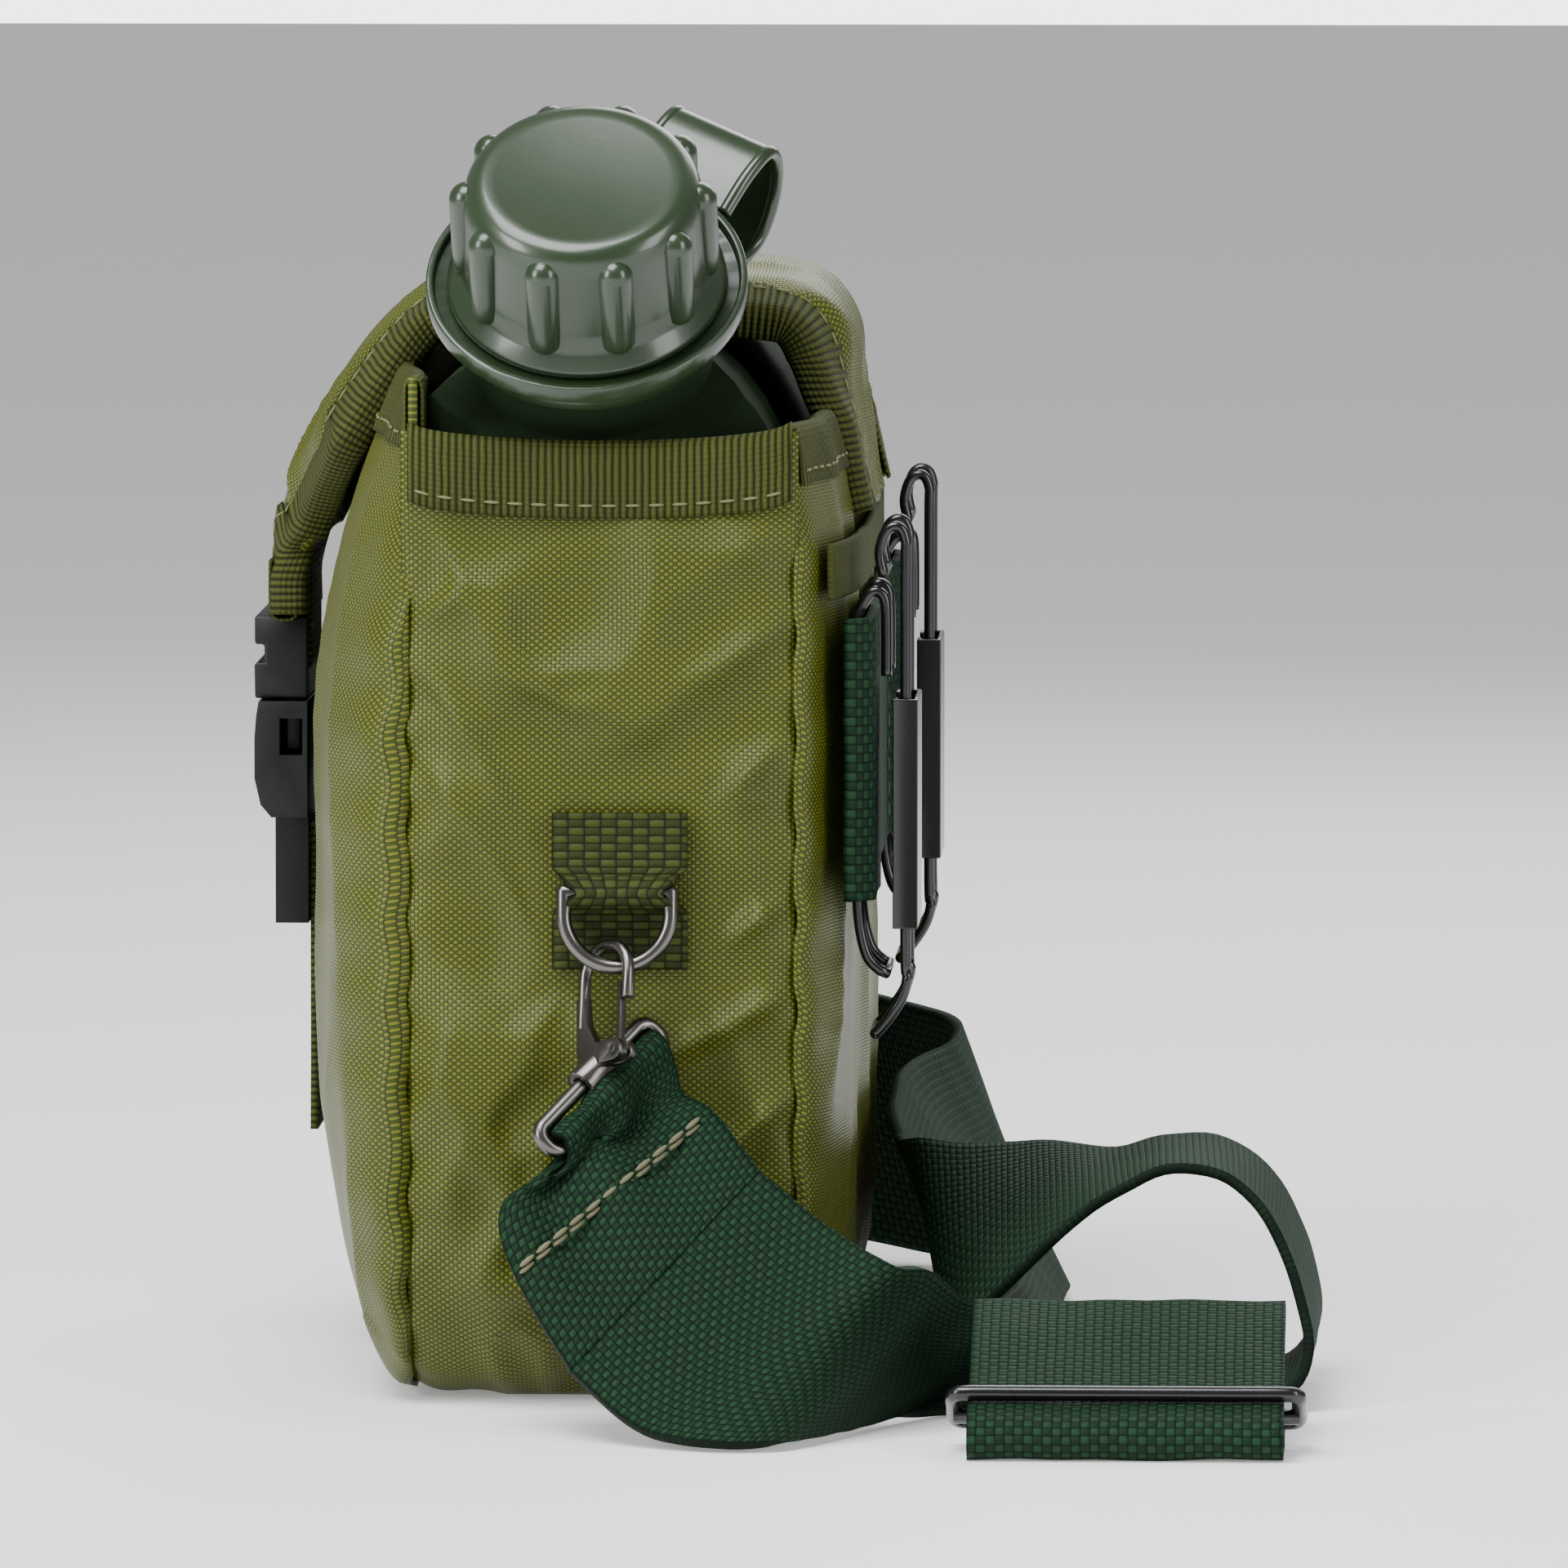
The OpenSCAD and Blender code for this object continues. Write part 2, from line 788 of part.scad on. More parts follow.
module hook()
{
    plate_t = 1.6;
    cheek_t = 1.7;
    slot_half = 0.65;
    color(gunmetal)
        difference()
        {
            union()
            {
                on_hook()
                {
                    tube(concat([[-nose_r, 0, -8]],
                        [for (a = [180:-15:0]) [nose_r * cos(a), 0, nose_r * sin(a)]],
                        [[nose_r, 0, -4.6]]), nose_wire, [0, 1, 0]);
                    xz_extrude(-plate_t / 2, plate_t / 2)
                        polygon([[-nose_r - 1, -3], [-nose_r + 0.8, -3], [-nose_r + 1.4, -7.5], [-1.5, -11],
                            [2.4, -11.8], [2.4, -14.4], [-1, -15.2], [-2, -17], [-4.6, -17.4], [-6, -12]]);
                    xz_extrude(-cheek_t, cheek_t)
                        translate([gate_pin[0], gate_pin[2]])
                        {
                            circle(1.8);
                            translate([-3.2, -1.8])
                                square([3.2, 3.6]);
                        }
                }
                on_ring()
                    rotate([0, 90, 0])
                        cylinder(h = 5, r = ring_wire + 1.5, center = true);
            }
            on_ring()
                rotate([0, 90, 0])
                    cylinder(h = 60, r = ring_wire + 0.3, center = true);
            on_hook()
                translate(gate_pin)
                {
                    box([-2.1, -slot_half, -2.1], [2.1, slot_half, 3]);
                    rotate([90, 0, 0])
                        cylinder(h = 10, r = gate_pin_r + running_gap, center = true);
                }
        }
}

module hook_gate()
{
    gate_w = 1.1;
    color(gunmetal)
        on_hook()
            union()
            {
                xz_extrude(-gate_w / 2, gate_w / 2)
                {
                    translate([gate_pin[0], gate_pin[2]])
                        circle(1.4);
                    translate([gate_pin[0] - 0.4, gate_pin[2]])
                        square([0.8, 11.4]);
                }
                translate(gate_pin)
                    rotate([90, 0, 0])
                        cylinder(h = 3.6, r = gate_pin_r, center = true);
            }
}

module strap_ring()
{
    corner = 2;
    color(gunmetal)
        on_ring()
        {
            for (z = [0, -ring_drop])
                bar([-ring_half + corner, 0, z], [ring_half - corner, 0, z], ring_wire);
            for (s = [-1, 1])
            {
                bar([s * ring_half, 0, -corner], [s * ring_half, 0, -ring_drop + corner], ring_wire);
                for (v = [0, 1])
                    translate([s * (ring_half - corner), 0, v == 0 ? -corner : -ring_drop + corner])
                        rotate([90, 0, 0])
                            rotate((v == 0 ? 0 : 180) + (s > 0 ? (v == 0 ? 0 : 90) : (v == 0 ? 90 : 0)))
                                rotate_extrude(angle = 90)
                                    translate([corner, 0])
                                        circle(ring_wire, $fn = 24);
            }
        }
}

module side_tab_near() { side_tab(); }

module side_tab_far() { mirror([1, 0, 0]) side_tab(); }

module d_ring_near() { d_ring(); }

module d_ring_far() { mirror([1, 0, 0]) d_ring(); }

module hook_near() { hook(); }

module hook_far() { mirror([1, 0, 0]) hook(); }

module hook_gate_near() { hook_gate(); }

module hook_gate_far() { mirror([1, 0, 0]) hook_gate(); }

module strap_ring_near() { strap_ring(); }

module strap_ring_far() { mirror([1, 0, 0]) strap_ring(); }

// ---------- shoulder strap ----------

// Each route is a list of the strap's two edges, in pairs
near_route = [
    [[111.4, -4.8, 42.2], [96.1, 10.4, 57]],
    [[117.5, -16, 35], [98, 12, 51]],
    [[124, -13.5, 25], [101, 17, 49]],
    [[134, -4, 11], [107, 25, 40]]];

floor_route = [
    [[134, -4, 11], [107, 25, 40]],
    [[142, 7, 3], [113, 36, 32]],
    [[148, 19, 1.3], [121, 46, 27]],
    [[146, 29, 1.3], [110, 52, 25]],
    [[132, 37, 1.3], [92, 58, 18]],
    [[112, 46, 1.3], [72, 70, 13]],
    [[100, 58, 1.3], [50, 64, 5]],
    [[98, 75, 1.2], [48, 77, 1.2]],
    [[97, 95, 1.3], [47, 96, 1.3]],
    [[95, 108, 3], [45, 109, 3]],
    [[91, 113, 9], [41, 114, 10]],
    [[87, 111, 20], [38, 112, 22]],
    [[83, 106, 31], [36, 106, 33]],
    [[80, 99, 37], [34, 98, 38]],
    [[80, 90, 38], [33, 89, 38]],
    [[80, 82, 34.5], [33, 80, 36]],
    [[80, 73, 28], [33, 71, 34]],
    [[80, 65, 20], [34, 63, 31]],
    [[79, 58, 13], [36, 55, 30]],
    [[70, 55, 6], [34, 48, 31]],
    [[56, 60, 3], [22, 45, 37]],
    [[36, 65, 2], [12, 43, 40]],
    [[12, 69, 2], [-6, 43, 42]],
    [[-15, 70, 2], [-22, 43, 43]],
    [[-45, 70, 2], [-48, 45, 43]],
    [[-72, 70, 2], [-72, 51, 44]],
    [[-96, 62, 2], [-90, 50, 46]],
    [[-116, 48, 2], [-104, 38, 48]],
    [[-124, 29, 5], [-107, 26, 51]]];

far_route = [
    [[-124, 29, 5], [-107, 26, 51]],
    [[-125, 11, 14], [-106, 19, 54]],
    [[-120, -4, 27], [-101, 14, 54]],
    [[-111.4, -4.8, 42.2], [-96.1, 10.4, 57]]];

function edge_line(route, side) = smooth([for (p = route) p[side]], route_steps);

function ribbon_edges(route) =
    let (a = edge_line(route, 0), b = edge_line(route, 1))
    [for (i = [0:len(a) - 1]) [a[i], b[i]]];

route_steps = 3;
near_count = route_steps * (len(near_route) - 1);
floor_count = route_steps * (len(floor_route) - 1);
far_count = route_steps * (len(far_route) - 1);
strap_edges = ribbon_edges(concat(near_route, rest_of(floor_route), rest_of(far_route)));

function rest_of(list) = [for (i = [1:len(list) - 1]) list[i]];

module strap_near_end()
{
    color(webbing_green)
        ribbon(strap_edges, strap_t, 0, near_count);
}

module shoulder_strap()
{
    color(webbing_green)
        ribbon(strap_edges, strap_t, near_count, near_count + floor_count);
}

module strap_far_end()
{
    color(webbing_green)
        ribbon(strap_edges, strap_t, near_count + floor_count, near_count + floor_count + far_count);
}

// The folded end of the webbing that runs round the slide adjuster, seen along Y
adjuster_y = 59.5;
adjuster_route = [
    [112, 19.8], [121, 17.2], [130, 13.8], [138, 10.6], [145, 8.4], [151, 7.2], [155.5, 6], [157.6, 3.4],
    [156, 0.8], [151.5, 0], [140, 0], [120, 0], [101, 0]];
adjuster_top = [149, 9.9];
adjuster_low = [137, 4];

module strap_tail()
{
    color(webbing_green)
        xz_extrude(adjuster_y, adjuster_y + strap_w)
            polygon(strip(smooth(adjuster_route, 4), 1.6, -1));
}

module slide_adjuster()
{
    r = 1.25;
    side_gap = 2.4;
    corner = 1.6;
    y0 = adjuster_y - side_gap;
    y1 = adjuster_y + strap_w + side_gap;
    mid_y = (y0 + y1) / 2;
    run = adjuster_low - adjuster_top;
    inset = run * corner / norm(run);
    a = adjuster_top;
    b = adjuster_low;
    quarter = [
        [a[0], mid_y, a[1]], [a[0], y1 - corner, a[1]],
        [a[0] + inset[0] / 4, y1 - corner / 4, a[1] + inset[1] / 4],
        [a[0] + inset[0], y1, a[1] + inset[1]], [b[0] - inset[0], y1, b[1] - inset[1]],
        [b[0] - inset[0] / 4, y1 - corner / 4, b[1] - inset[1] / 4],
        [b[0], y1 - corner, b[1]], [b[0], mid_y, b[1]]];
    back = [for (i = [len(quarter) - 2:-1:1]) [quarter[i][0], 2 * mid_y - quarter[i][1], quarter[i][2]]];
    color(black_plastic)
        union()
        {
            tube(concat(quarter, back), r, [0, 0, 1], true);
            tube([[(a[0] + b[0]) / 2, y0, (a[1] + b[1]) / 2 - 1.4], [(a[0] + b[0]) / 2, y1, (a[1] + b[1]) / 2 - 1.4]],
                r, [0, 0, 1]);
        }
}

// ---------- belt clips ----------

front_wire_y = 47.4;
keeper_z = [77, 114.3];

// Both halves of a clip's wire, from half of its route given as [y, z]
function clip_wire(xc, half_line) = concat(
    [for (q = half_line) [xc + clip_half, q[0], q[1]]],
    [for (q = reversed(half_line)) [xc - clip_half, q[0], q[1]]]);

// The inner wire: down the tunnel behind the band and out below it, with a bar across its foot
module clip_frame(xc)
{
    half_line = smooth([[44.3, 118], [44.3, 125.5], [44.15, 129.8], [43.5, 131.3], [42.4, 131.7], [41.35, 131.1],
        [40.3, 129.4], [39.75, 127.9], [clip_leg_y, 124], [clip_leg_y, 104], [clip_leg_y, 86],
        [39.9, 78], [41.2, 72.4], [43.4, 70]], 4);
    color(black_plastic)
        tube(clip_wire(xc, concat(half_line, [[44.4, 69.6]])), clip_wire_r, [1, 0, 0]);
}

// The outer wire: a rolled top, two straight legs and a tail that turns in below
module clip_front(xc)
{
    half_line = smooth([[43.8, 134.6], [43.2, 138], [44.2, 141.4], [46.2, 142.2], [47.4, 140],
        [front_wire_y, 135], [front_wire_y, 104], [front_wire_y, 73], [47.7, 69], [46.8, 65.6], [44.6, 62.2],
        [42.4, 59.6]], 4);
    color(black_plastic)
        tube(clip_wire(xc, half_line), clip_wire_r, [1, 0, 0], true);
}

// The sliding keeper: a folded plate round both front legs
module clip_keeper(xc)
{
    t = 0.8;
    half = clip_half + clip_wire_r + 0.35;
    y0 = front_wire_y - clip_wire_r - 0.35;
    y1 = front_wire_y + clip_wire_r + 0.35;
    lip = 4;
    color(black_plastic)
    {
        box([xc - half - t, y1, keeper_z[0]], [xc + half + t, y1 + t, keeper_z[1]]);
        for (s = [-1, 1])
            translate([xc, 0, 0])
                scale([s, 1, 1])
                {
                    box([half, y0 - t, keeper_z[0]], [half + t, y1 + t, keeper_z[1]]);
                    box([half - lip, y0 - t, keeper_z[0]], [half + t, y0, keeper_z[1]]);
                }
    }
}

module clip_frame_near() { clip_frame(clip_near_x); }

module clip_frame_far() { clip_frame(clip_far_x); }

module clip_front_near() { clip_front(clip_near_x); }

module clip_front_far() { clip_front(clip_far_x); }

module clip_keeper_near() { clip_keeper(clip_near_x); }

module clip_keeper_far() { clip_keeper(clip_far_x); }

bottle();
cap();
cap_liner();
retainer_cap_ring();
retainer_neck_ring();
retainer_loop();
front_panel();
back_panel();
side_gusset();
binding_near();
binding_far();
back_seam_band();
flap();
flap_binding();
flap_strap();
buckle_male();
buckle_arm_near();
buckle_arm_far();
buckle_female();
front_strap();
back_band();
side_tab_near();
side_tab_far();
d_ring_near();
d_ring_far();
hook_near();
hook_far();
hook_gate_near();
hook_gate_far();
strap_ring_near();
strap_ring_far();
strap_near_end();
shoulder_strap();
strap_far_end();
strap_tail();
slide_adjuster();
clip_frame_near();
clip_frame_far();
clip_front_near();
clip_front_far();
clip_keeper_near();
clip_keeper_far();
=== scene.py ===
# %% [markdown]
# # A two-quart canteen in its nylon cover
# The bottle is hard plastic and everything round it is sewn: a padded cover with a buckled flap,
# a shoulder strap clipped to two D-rings, and two wire clips for a belt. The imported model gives
# each piece's place, so every new piece is made straight in that frame and finished here.

# %% Load the frame
from math import cos, exp, pi, radians, sin, sqrt

import bmesh
import bpy
from mathutils import Matrix, Vector, noise


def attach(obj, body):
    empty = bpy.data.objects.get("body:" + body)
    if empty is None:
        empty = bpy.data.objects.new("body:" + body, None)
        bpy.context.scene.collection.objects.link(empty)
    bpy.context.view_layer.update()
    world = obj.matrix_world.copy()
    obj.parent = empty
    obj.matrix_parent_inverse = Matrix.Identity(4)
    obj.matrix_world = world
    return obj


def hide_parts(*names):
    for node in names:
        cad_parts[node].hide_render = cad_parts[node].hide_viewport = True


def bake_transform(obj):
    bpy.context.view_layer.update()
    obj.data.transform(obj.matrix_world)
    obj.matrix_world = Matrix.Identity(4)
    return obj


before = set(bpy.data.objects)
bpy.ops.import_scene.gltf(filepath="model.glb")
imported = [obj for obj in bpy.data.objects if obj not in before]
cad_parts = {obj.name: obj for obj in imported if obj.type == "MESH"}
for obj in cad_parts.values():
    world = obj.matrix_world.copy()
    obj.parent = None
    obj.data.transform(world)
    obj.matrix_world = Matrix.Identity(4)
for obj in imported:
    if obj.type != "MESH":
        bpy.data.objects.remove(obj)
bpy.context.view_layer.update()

MM = 0.001

# %% [markdown]
# ## Camera, floor and light
# The canteen is seen from its narrow side, from nearly level with it and from far away, so the
# lens is long. A pale floor and large soft lights suit both the shiny nylon and the glossy cap:
# a big lamp gives a broad soft reflection where a small one would give a hard dot.

# %% Camera
aim = Vector((0.093, 0.0283, 0.1017))
rise, turn, away = radians(4.8), radians(2.2), 2.6
back = Vector((cos(rise) * cos(turn), cos(rise) * sin(turn), sin(rise)))
camera = bpy.data.objects.new("camera", bpy.data.cameras.new("camera"))
bpy.context.scene.collection.objects.link(camera)
camera.location = aim + back * away
camera.rotation_mode = "QUATERNION"
camera.rotation_quaternion = back.to_track_quat("Z", "Y")
camera.data.sensor_width = 36
camera.data.lens = 370.5
camera.data.clip_end = 50
bpy.context.scene.camera = camera

# %% Lights
def soft_lamp(name, place, size, power, tint=(1, 1, 1)):
    lamp = bpy.data.lights.new(name, "AREA")
    lamp.shape = "RECTANGLE"
    lamp.size, lamp.size_y = size
    lamp.energy = power
    lamp.color = tint
    obj = bpy.data.objects.new(name, lamp)
    bpy.context.scene.collection.objects.link(obj)
    obj.location = place
    obj.rotation_mode = "QUATERNION"
    obj.rotation_quaternion = (Vector(place) - Vector((0.03, 0.02, 0.1))).to_track_quat("Z", "Y")
    return obj


soft_lamp("lamp_over", (0.45, -0.25, 1.1), (0.7, 0.7), 20, (0.97, 0.99, 1))
soft_lamp("lamp_left", (0.8, -0.95, 0.55), (0.4, 0.7), 13)
soft_lamp("lamp_right", (0.75, 1.0, 0.5), (0.4, 0.8), 8)
soft_lamp("lamp_behind", (-0.9, 0.3, 0.8), (0.8, 0.8), 8)
world = bpy.data.worlds.new("studio")
bpy.context.scene.world = world
world.use_nodes = True
world_tree = world.node_tree
fill = world_tree.nodes["Background"]
fill.inputs["Color"].default_value = (1, 1, 1, 1)
fill.inputs["Strength"].default_value = 0.3
sweep = world_tree.nodes.new("ShaderNodeBackground")
sweep.inputs["Color"].default_value = (1, 1, 1, 1)
sweep.inputs["Strength"].default_value = 4.0
ray = world_tree.nodes.new("ShaderNodeLightPath")
both = world_tree.nodes.new("ShaderNodeMixShader")
world_tree.links.new(ray.outputs["Is Camera Ray"], both.inputs[0])
world_tree.links.new(fill.outputs[0], both.inputs[1])
world_tree.links.new(sweep.outputs[0], both.inputs[2])
world_tree.links.new(both.outputs[0], world_tree.nodes["World Output"].inputs["Surface"])

# %% [markdown]
# ## Shader groups
# Three effects turn up in several finishes: a plain weave, the cords of ribbed tape, and a slow
# drift of tone. Each is a node group, so that every cloth here is the same weave at its own size.
# The weave works from a UV map in metres, because threads follow the cloth round its bends.

# %% Group helpers
def new_group(name, inputs, outputs):
    group = bpy.data.node_groups.new(name, "ShaderNodeTree")
    for label, kind, value in inputs:
        socket = group.interface.new_socket(label, in_out="INPUT", socket_type=kind)
        if value is not None:
            socket.default_value = value
    for label, kind in outputs:
        group.interface.new_socket(label, in_out="OUTPUT", socket_type=kind)
    return group, group.nodes.new("NodeGroupInput"), group.nodes.new("NodeGroupOutput")


def math(tree, kind, a, b=None, c=None):
    node = tree.nodes.new("ShaderNodeMath")
    node.operation = kind
    for i, value in enumerate((a, b, c)):
        if value is None:
            continue
        if isinstance(value, (int, float)):
            node.inputs[i].default_value = value
        else:
            tree.links.new(value, node.inputs[i])
    return node.outputs[0]


# %% Weave group
F, V = "NodeSocketFloat", "NodeSocketVector"
weave, win, wout = new_group(
    "plain_weave",
    [("Vector", V, None), ("Across", F, 0.001), ("Along", F, 0.001), ("Wander", F, 0.2)],
    [("Height", F), ("Warp", F), ("Shade", F)])
spread = weave.nodes.new("ShaderNodeTexNoise")
spread.inputs["Scale"].default_value = 90
weave.links.new(win.outputs["Vector"], spread.inputs["Vector"])
split = weave.nodes.new("ShaderNodeSeparateXYZ")
weave.links.new(win.outputs["Vector"], split.inputs[0])
drift = math(weave, "MULTIPLY", math(weave, "SUBTRACT", spread.outputs["Fac"], 0.5), win.outputs["Wander"])
waves = []
for side, label in ((0, "Across"), (1, "Along")):
    turns = math(weave, "ADD", math(weave, "DIVIDE", split.outputs[side], win.outputs[label]), drift)
    waves.append(math(weave, "MULTIPLY", turns, pi))
over = math(weave, "MULTIPLY", math(weave, "SINE", waves[0]), math(weave, "SINE", waves[1]))
crown = math(weave, "ABSOLUTE", over)
weave.links.new(math(weave, "POWER", crown, 0.5), wout.inputs["Height"])
weave.links.new(math(weave, "MULTIPLY_ADD", over, 2.5, 0.5), wout.inputs["Warp"])
weave.links.new(spread.outputs["Fac"], wout.inputs["Shade"])
print("group", weave.name)

# %% Ribbed tape group
ribs, rin, rout = new_group(
    "tape_ribs", [("Vector", V, None), ("Pitch", F, 0.0012), ("Thread", F, 0.0009)],
    [("Height", F), ("GrooveShade", F)])
rsplit = ribs.nodes.new("ShaderNodeSeparateXYZ")
ribs.links.new(rin.outputs["Vector"], rsplit.inputs[0])
rnoise = ribs.nodes.new("ShaderNodeTexNoise")
rnoise.inputs["Scale"].default_value = 260
ribs.links.new(rin.outputs["Vector"], rnoise.inputs["Vector"])
rib = math(ribs, "MULTIPLY", math(ribs, "DIVIDE", rsplit.outputs[1], rin.outputs["Pitch"]), pi)
rib = math(ribs, "ABSOLUTE", math(ribs, "SINE", math(ribs, "MULTIPLY_ADD", rnoise.outputs["Fac"], 0.7, rib)))
cord = math(ribs, "MULTIPLY", math(ribs, "DIVIDE", rsplit.outputs[0], rin.outputs["Thread"]), pi)
cord = math(ribs, "ABSOLUTE", math(ribs, "SINE", cord))
ribs.links.new(math(ribs, "MULTIPLY_ADD", cord, 0.3, rib), rout.inputs["Height"])
# Groove mask: where the tape finish paints shade between the ribs.
ribs.links.new(math(ribs, "SUBTRACT", 1, rib), rout.inputs["GrooveShade"])
print("group", ribs.name)

# %% Tone group
C = "NodeSocketColor"
tone, tin, tout = new_group(
    "slow_tone", [("Base", C, (1, 1, 1, 1)), ("Worn", C, (1, 1, 1, 1)), ("Size", F, 20), ("Amount", F, 0.5)],
    [("Color", C), ("Mask", F)])
place = tone.nodes.new("ShaderNodeTexCoord")
cloud = tone.nodes.new("ShaderNodeTexNoise")
cloud.inputs["Detail"].default_value = 5
tone.links.new(place.outputs["Object"], cloud.inputs["Vector"])
tone.links.new(tin.outputs["Size"], cloud.inputs["Scale"])
steep = math(tone, "MULTIPLY_ADD", cloud.outputs["Fac"], 2.4, -0.7)
clamp = tone.nodes.new("ShaderNodeClamp")
tone.links.new(math(tone, "MULTIPLY", steep, tin.outputs["Amount"]), clamp.inputs["Value"])
mix = tone.nodes.new("ShaderNodeMix")
mix.data_type = "RGBA"
tone.links.new(clamp.outputs[0], mix.inputs["Factor"])
tone.links.new(tin.outputs["Base"], mix.inputs["A"])
tone.links.new(tin.outputs["Worn"], mix.inputs["B"])
tone.links.new(mix.outputs["Result"], tout.inputs["Color"])
tone.links.new(clamp.outputs[0], tout.inputs["Mask"])
print("group", tone.name)

# %% [markdown]
# ## Finishes
# Coated nylon is two sets of shiny threads with one gloss. The raised warp is coloured yellower and
# lighter than the weft, a painted highlight on the thread crowns, and the low gaps between threads get
# painted shade. Webbing is the same weave, much coarser and dull, with the same painted shade in its
# gaps. Tape is ribbed, with painted shade in its grooves. The plastics and metals are plain shaders
# with a fine grain and slow changes of gloss.

# %% Finish helpers
def new_finish(name, rough, metal=0.0, **constant):
    material = bpy.data.materials.new(name)
    material.use_nodes = True
    shader = material.node_tree.nodes["Principled BSDF"]
    shader.inputs["Roughness"].default_value = rough
    shader.inputs["Metallic"].default_value = metal
    for label, value in constant.items():
        shader.inputs[label.replace("_", " ")].default_value = value
    return material, material.node_tree, shader


def add_tone(tree, base, worn, size, amount):
    node = tree.nodes.new("ShaderNodeGroup")
    node.node_tree = tone
    node.inputs["Base"].default_value = (*base, 1)
    node.inputs["Worn"].default_value = (*worn, 1)
    node.inputs["Size"].default_value = size
    node.inputs["Amount"].default_value = amount
    return node


def add_bump(tree, shader, height, strength, distance, below=None):
    node = tree.nodes.new("ShaderNodeBump")
    node.inputs["Strength"].default_value = strength
    node.inputs["Distance"].default_value = distance
    tree.links.new(height, node.inputs["Height"])
    if below is not None:
        tree.links.new(below, node.inputs["Normal"])
    tree.links.new(node.outputs["Normal"], shader.inputs["Normal"])
    return node.outputs["Normal"]


def mixed(tree, factor, a, b):
    node = tree.nodes.new("ShaderNodeMix")
    node.data_type = "RGBA"
    tree.links.new(factor, node.inputs["Factor"])
    for label, value in (("A", a), ("B", b)):
        if isinstance(value, tuple):
            node.inputs[label].default_value = (*value, 1)
        else:
            tree.links.new(value, node.inputs[label])
    return node.outputs["Result"]


# Cloth colour: the weft, and the warp where it lies on top; for the nylon the warp colour is a painted
# highlight.
def cloth(name, warp_and_highlight, weft, across, along, rough, bump, depth, tone_to=None, **constant):
    material, tree, shader = new_finish(name, rough, **constant)
    where = tree.nodes.new("ShaderNodeUVMap")
    group = tree.nodes.new("ShaderNodeGroup")
    group.node_tree = weave
    group.inputs["Across"].default_value = across
    group.inputs["Along"].default_value = along
    tree.links.new(where.outputs["UV"], group.inputs["Vector"])
    clamp = tree.nodes.new("ShaderNodeClamp")
    tree.links.new(group.outputs["Warp"], clamp.inputs["Value"])
    threads = mixed(tree, clamp.outputs[0], weft, warp_and_highlight)
    # Painted shade: where the weave is low, between the threads, the colour darkens to a third of the weft.
    gap_shade_ramp = tree.nodes.new("ShaderNodeMapRange")
    tree.links.new(group.outputs["Height"], gap_shade_ramp.inputs["Value"])
    gap_shade_ramp.inputs["From Min"].default_value = 0.15
    gap_shade_ramp.inputs["From Max"].default_value = 0.6
    thread_gap_shade = tuple(0.35 * c for c in weft)
    seen = mixed(tree, gap_shade_ramp.outputs[0], thread_gap_shade, threads)
    drift = add_tone(tree, (1, 1, 1), tone_to or (0.8, 0.82, 0.78), 26, 0.8)
    product = tree.nodes.new("ShaderNodeMix")
    product.data_type = "RGBA"
    product.blend_type = "MULTIPLY"
    product.inputs["Factor"].default_value = 1
    tree.links.new(seen, product.inputs["A"])
    tree.links.new(drift.outputs["Color"], product.inputs["B"])
    tree.links.new(product.outputs["Result"], shader.inputs["Base Color"])
    add_bump(tree, shader, group.outputs["Height"], bump, depth)
    return material


# %% Cloth finishes
# The nylon's yellow, lighter warp colour is a painted highlight on the raised threads.
nylon = cloth("coated_nylon", (0.135, 0.138, 0.012), (0.036, 0.052, 0.005), 0.0007, 0.00055, 0.38, 0.4,
              0.0002,
              Specular_IOR_Level=0.22)
webbing = cloth("strap_webbing", (0.011, 0.040, 0.017), (0.006, 0.021, 0.010), 0.0015, 0.0011, 0.65, 0.8,
                0.0004,
                Specular_IOR_Level=0.1)
tab_web = cloth("tab_webbing", (0.040, 0.050, 0.010), (0.020, 0.027, 0.006), 0.0026, 0.0013, 0.65, 0.9,
                0.0004,
                Specular_IOR_Level=0.12)
print("cloths:", nylon.name, webbing.name, tab_web.name)

# %% Tape, thread and hard finishes
tape, tree, shader = new_finish("edge_tape", 0.65, Specular_IOR_Level=0.12)
where = tree.nodes.new("ShaderNodeUVMap")
group = tree.nodes.new("ShaderNodeGroup")
group.node_tree = ribs
tree.links.new(where.outputs["UV"], group.inputs["Vector"])
base = add_tone(tree, (0.062, 0.072, 0.013), (0.044, 0.052, 0.010), 60, 0.9)
# Painted shade: the grooves between the ribs are coloured near-black.
tree.links.new(mixed(tree, group.outputs["GrooveShade"], base.outputs["Color"], (0.007, 0.009, 0.002)),
               shader.inputs["Base Color"])
add_bump(tree, shader, group.outputs["Height"], 0.8, 0.0005)


def solid(name, base, worn, rough, grain, depth, size=30, amount=0.7, metal=0.0, **constant):
    material, tree, shader = new_finish(name, rough, metal, **constant)
    drift = add_tone(tree, base, worn, size, amount)
    tree.links.new(drift.outputs["Color"], shader.inputs["Base Color"])
    gloss = tree.nodes.new("ShaderNodeMapRange")
    tree.links.new(drift.outputs["Mask"], gloss.inputs["Value"])
    gloss.inputs["To Min"].default_value = rough
    gloss.inputs["To Max"].default_value = min(1, rough + 0.12)
    tree.links.new(gloss.outputs[0], shader.inputs["Roughness"])
    speck = tree.nodes.new("ShaderNodeTexNoise")
    speck.inputs["Scale"].default_value = grain
    where = tree.nodes.new("ShaderNodeTexCoord")
    tree.links.new(where.outputs["Object"], speck.inputs["Vector"])
    add_bump(tree, shader, speck.outputs["Fac"], 0.25, depth)
    return material


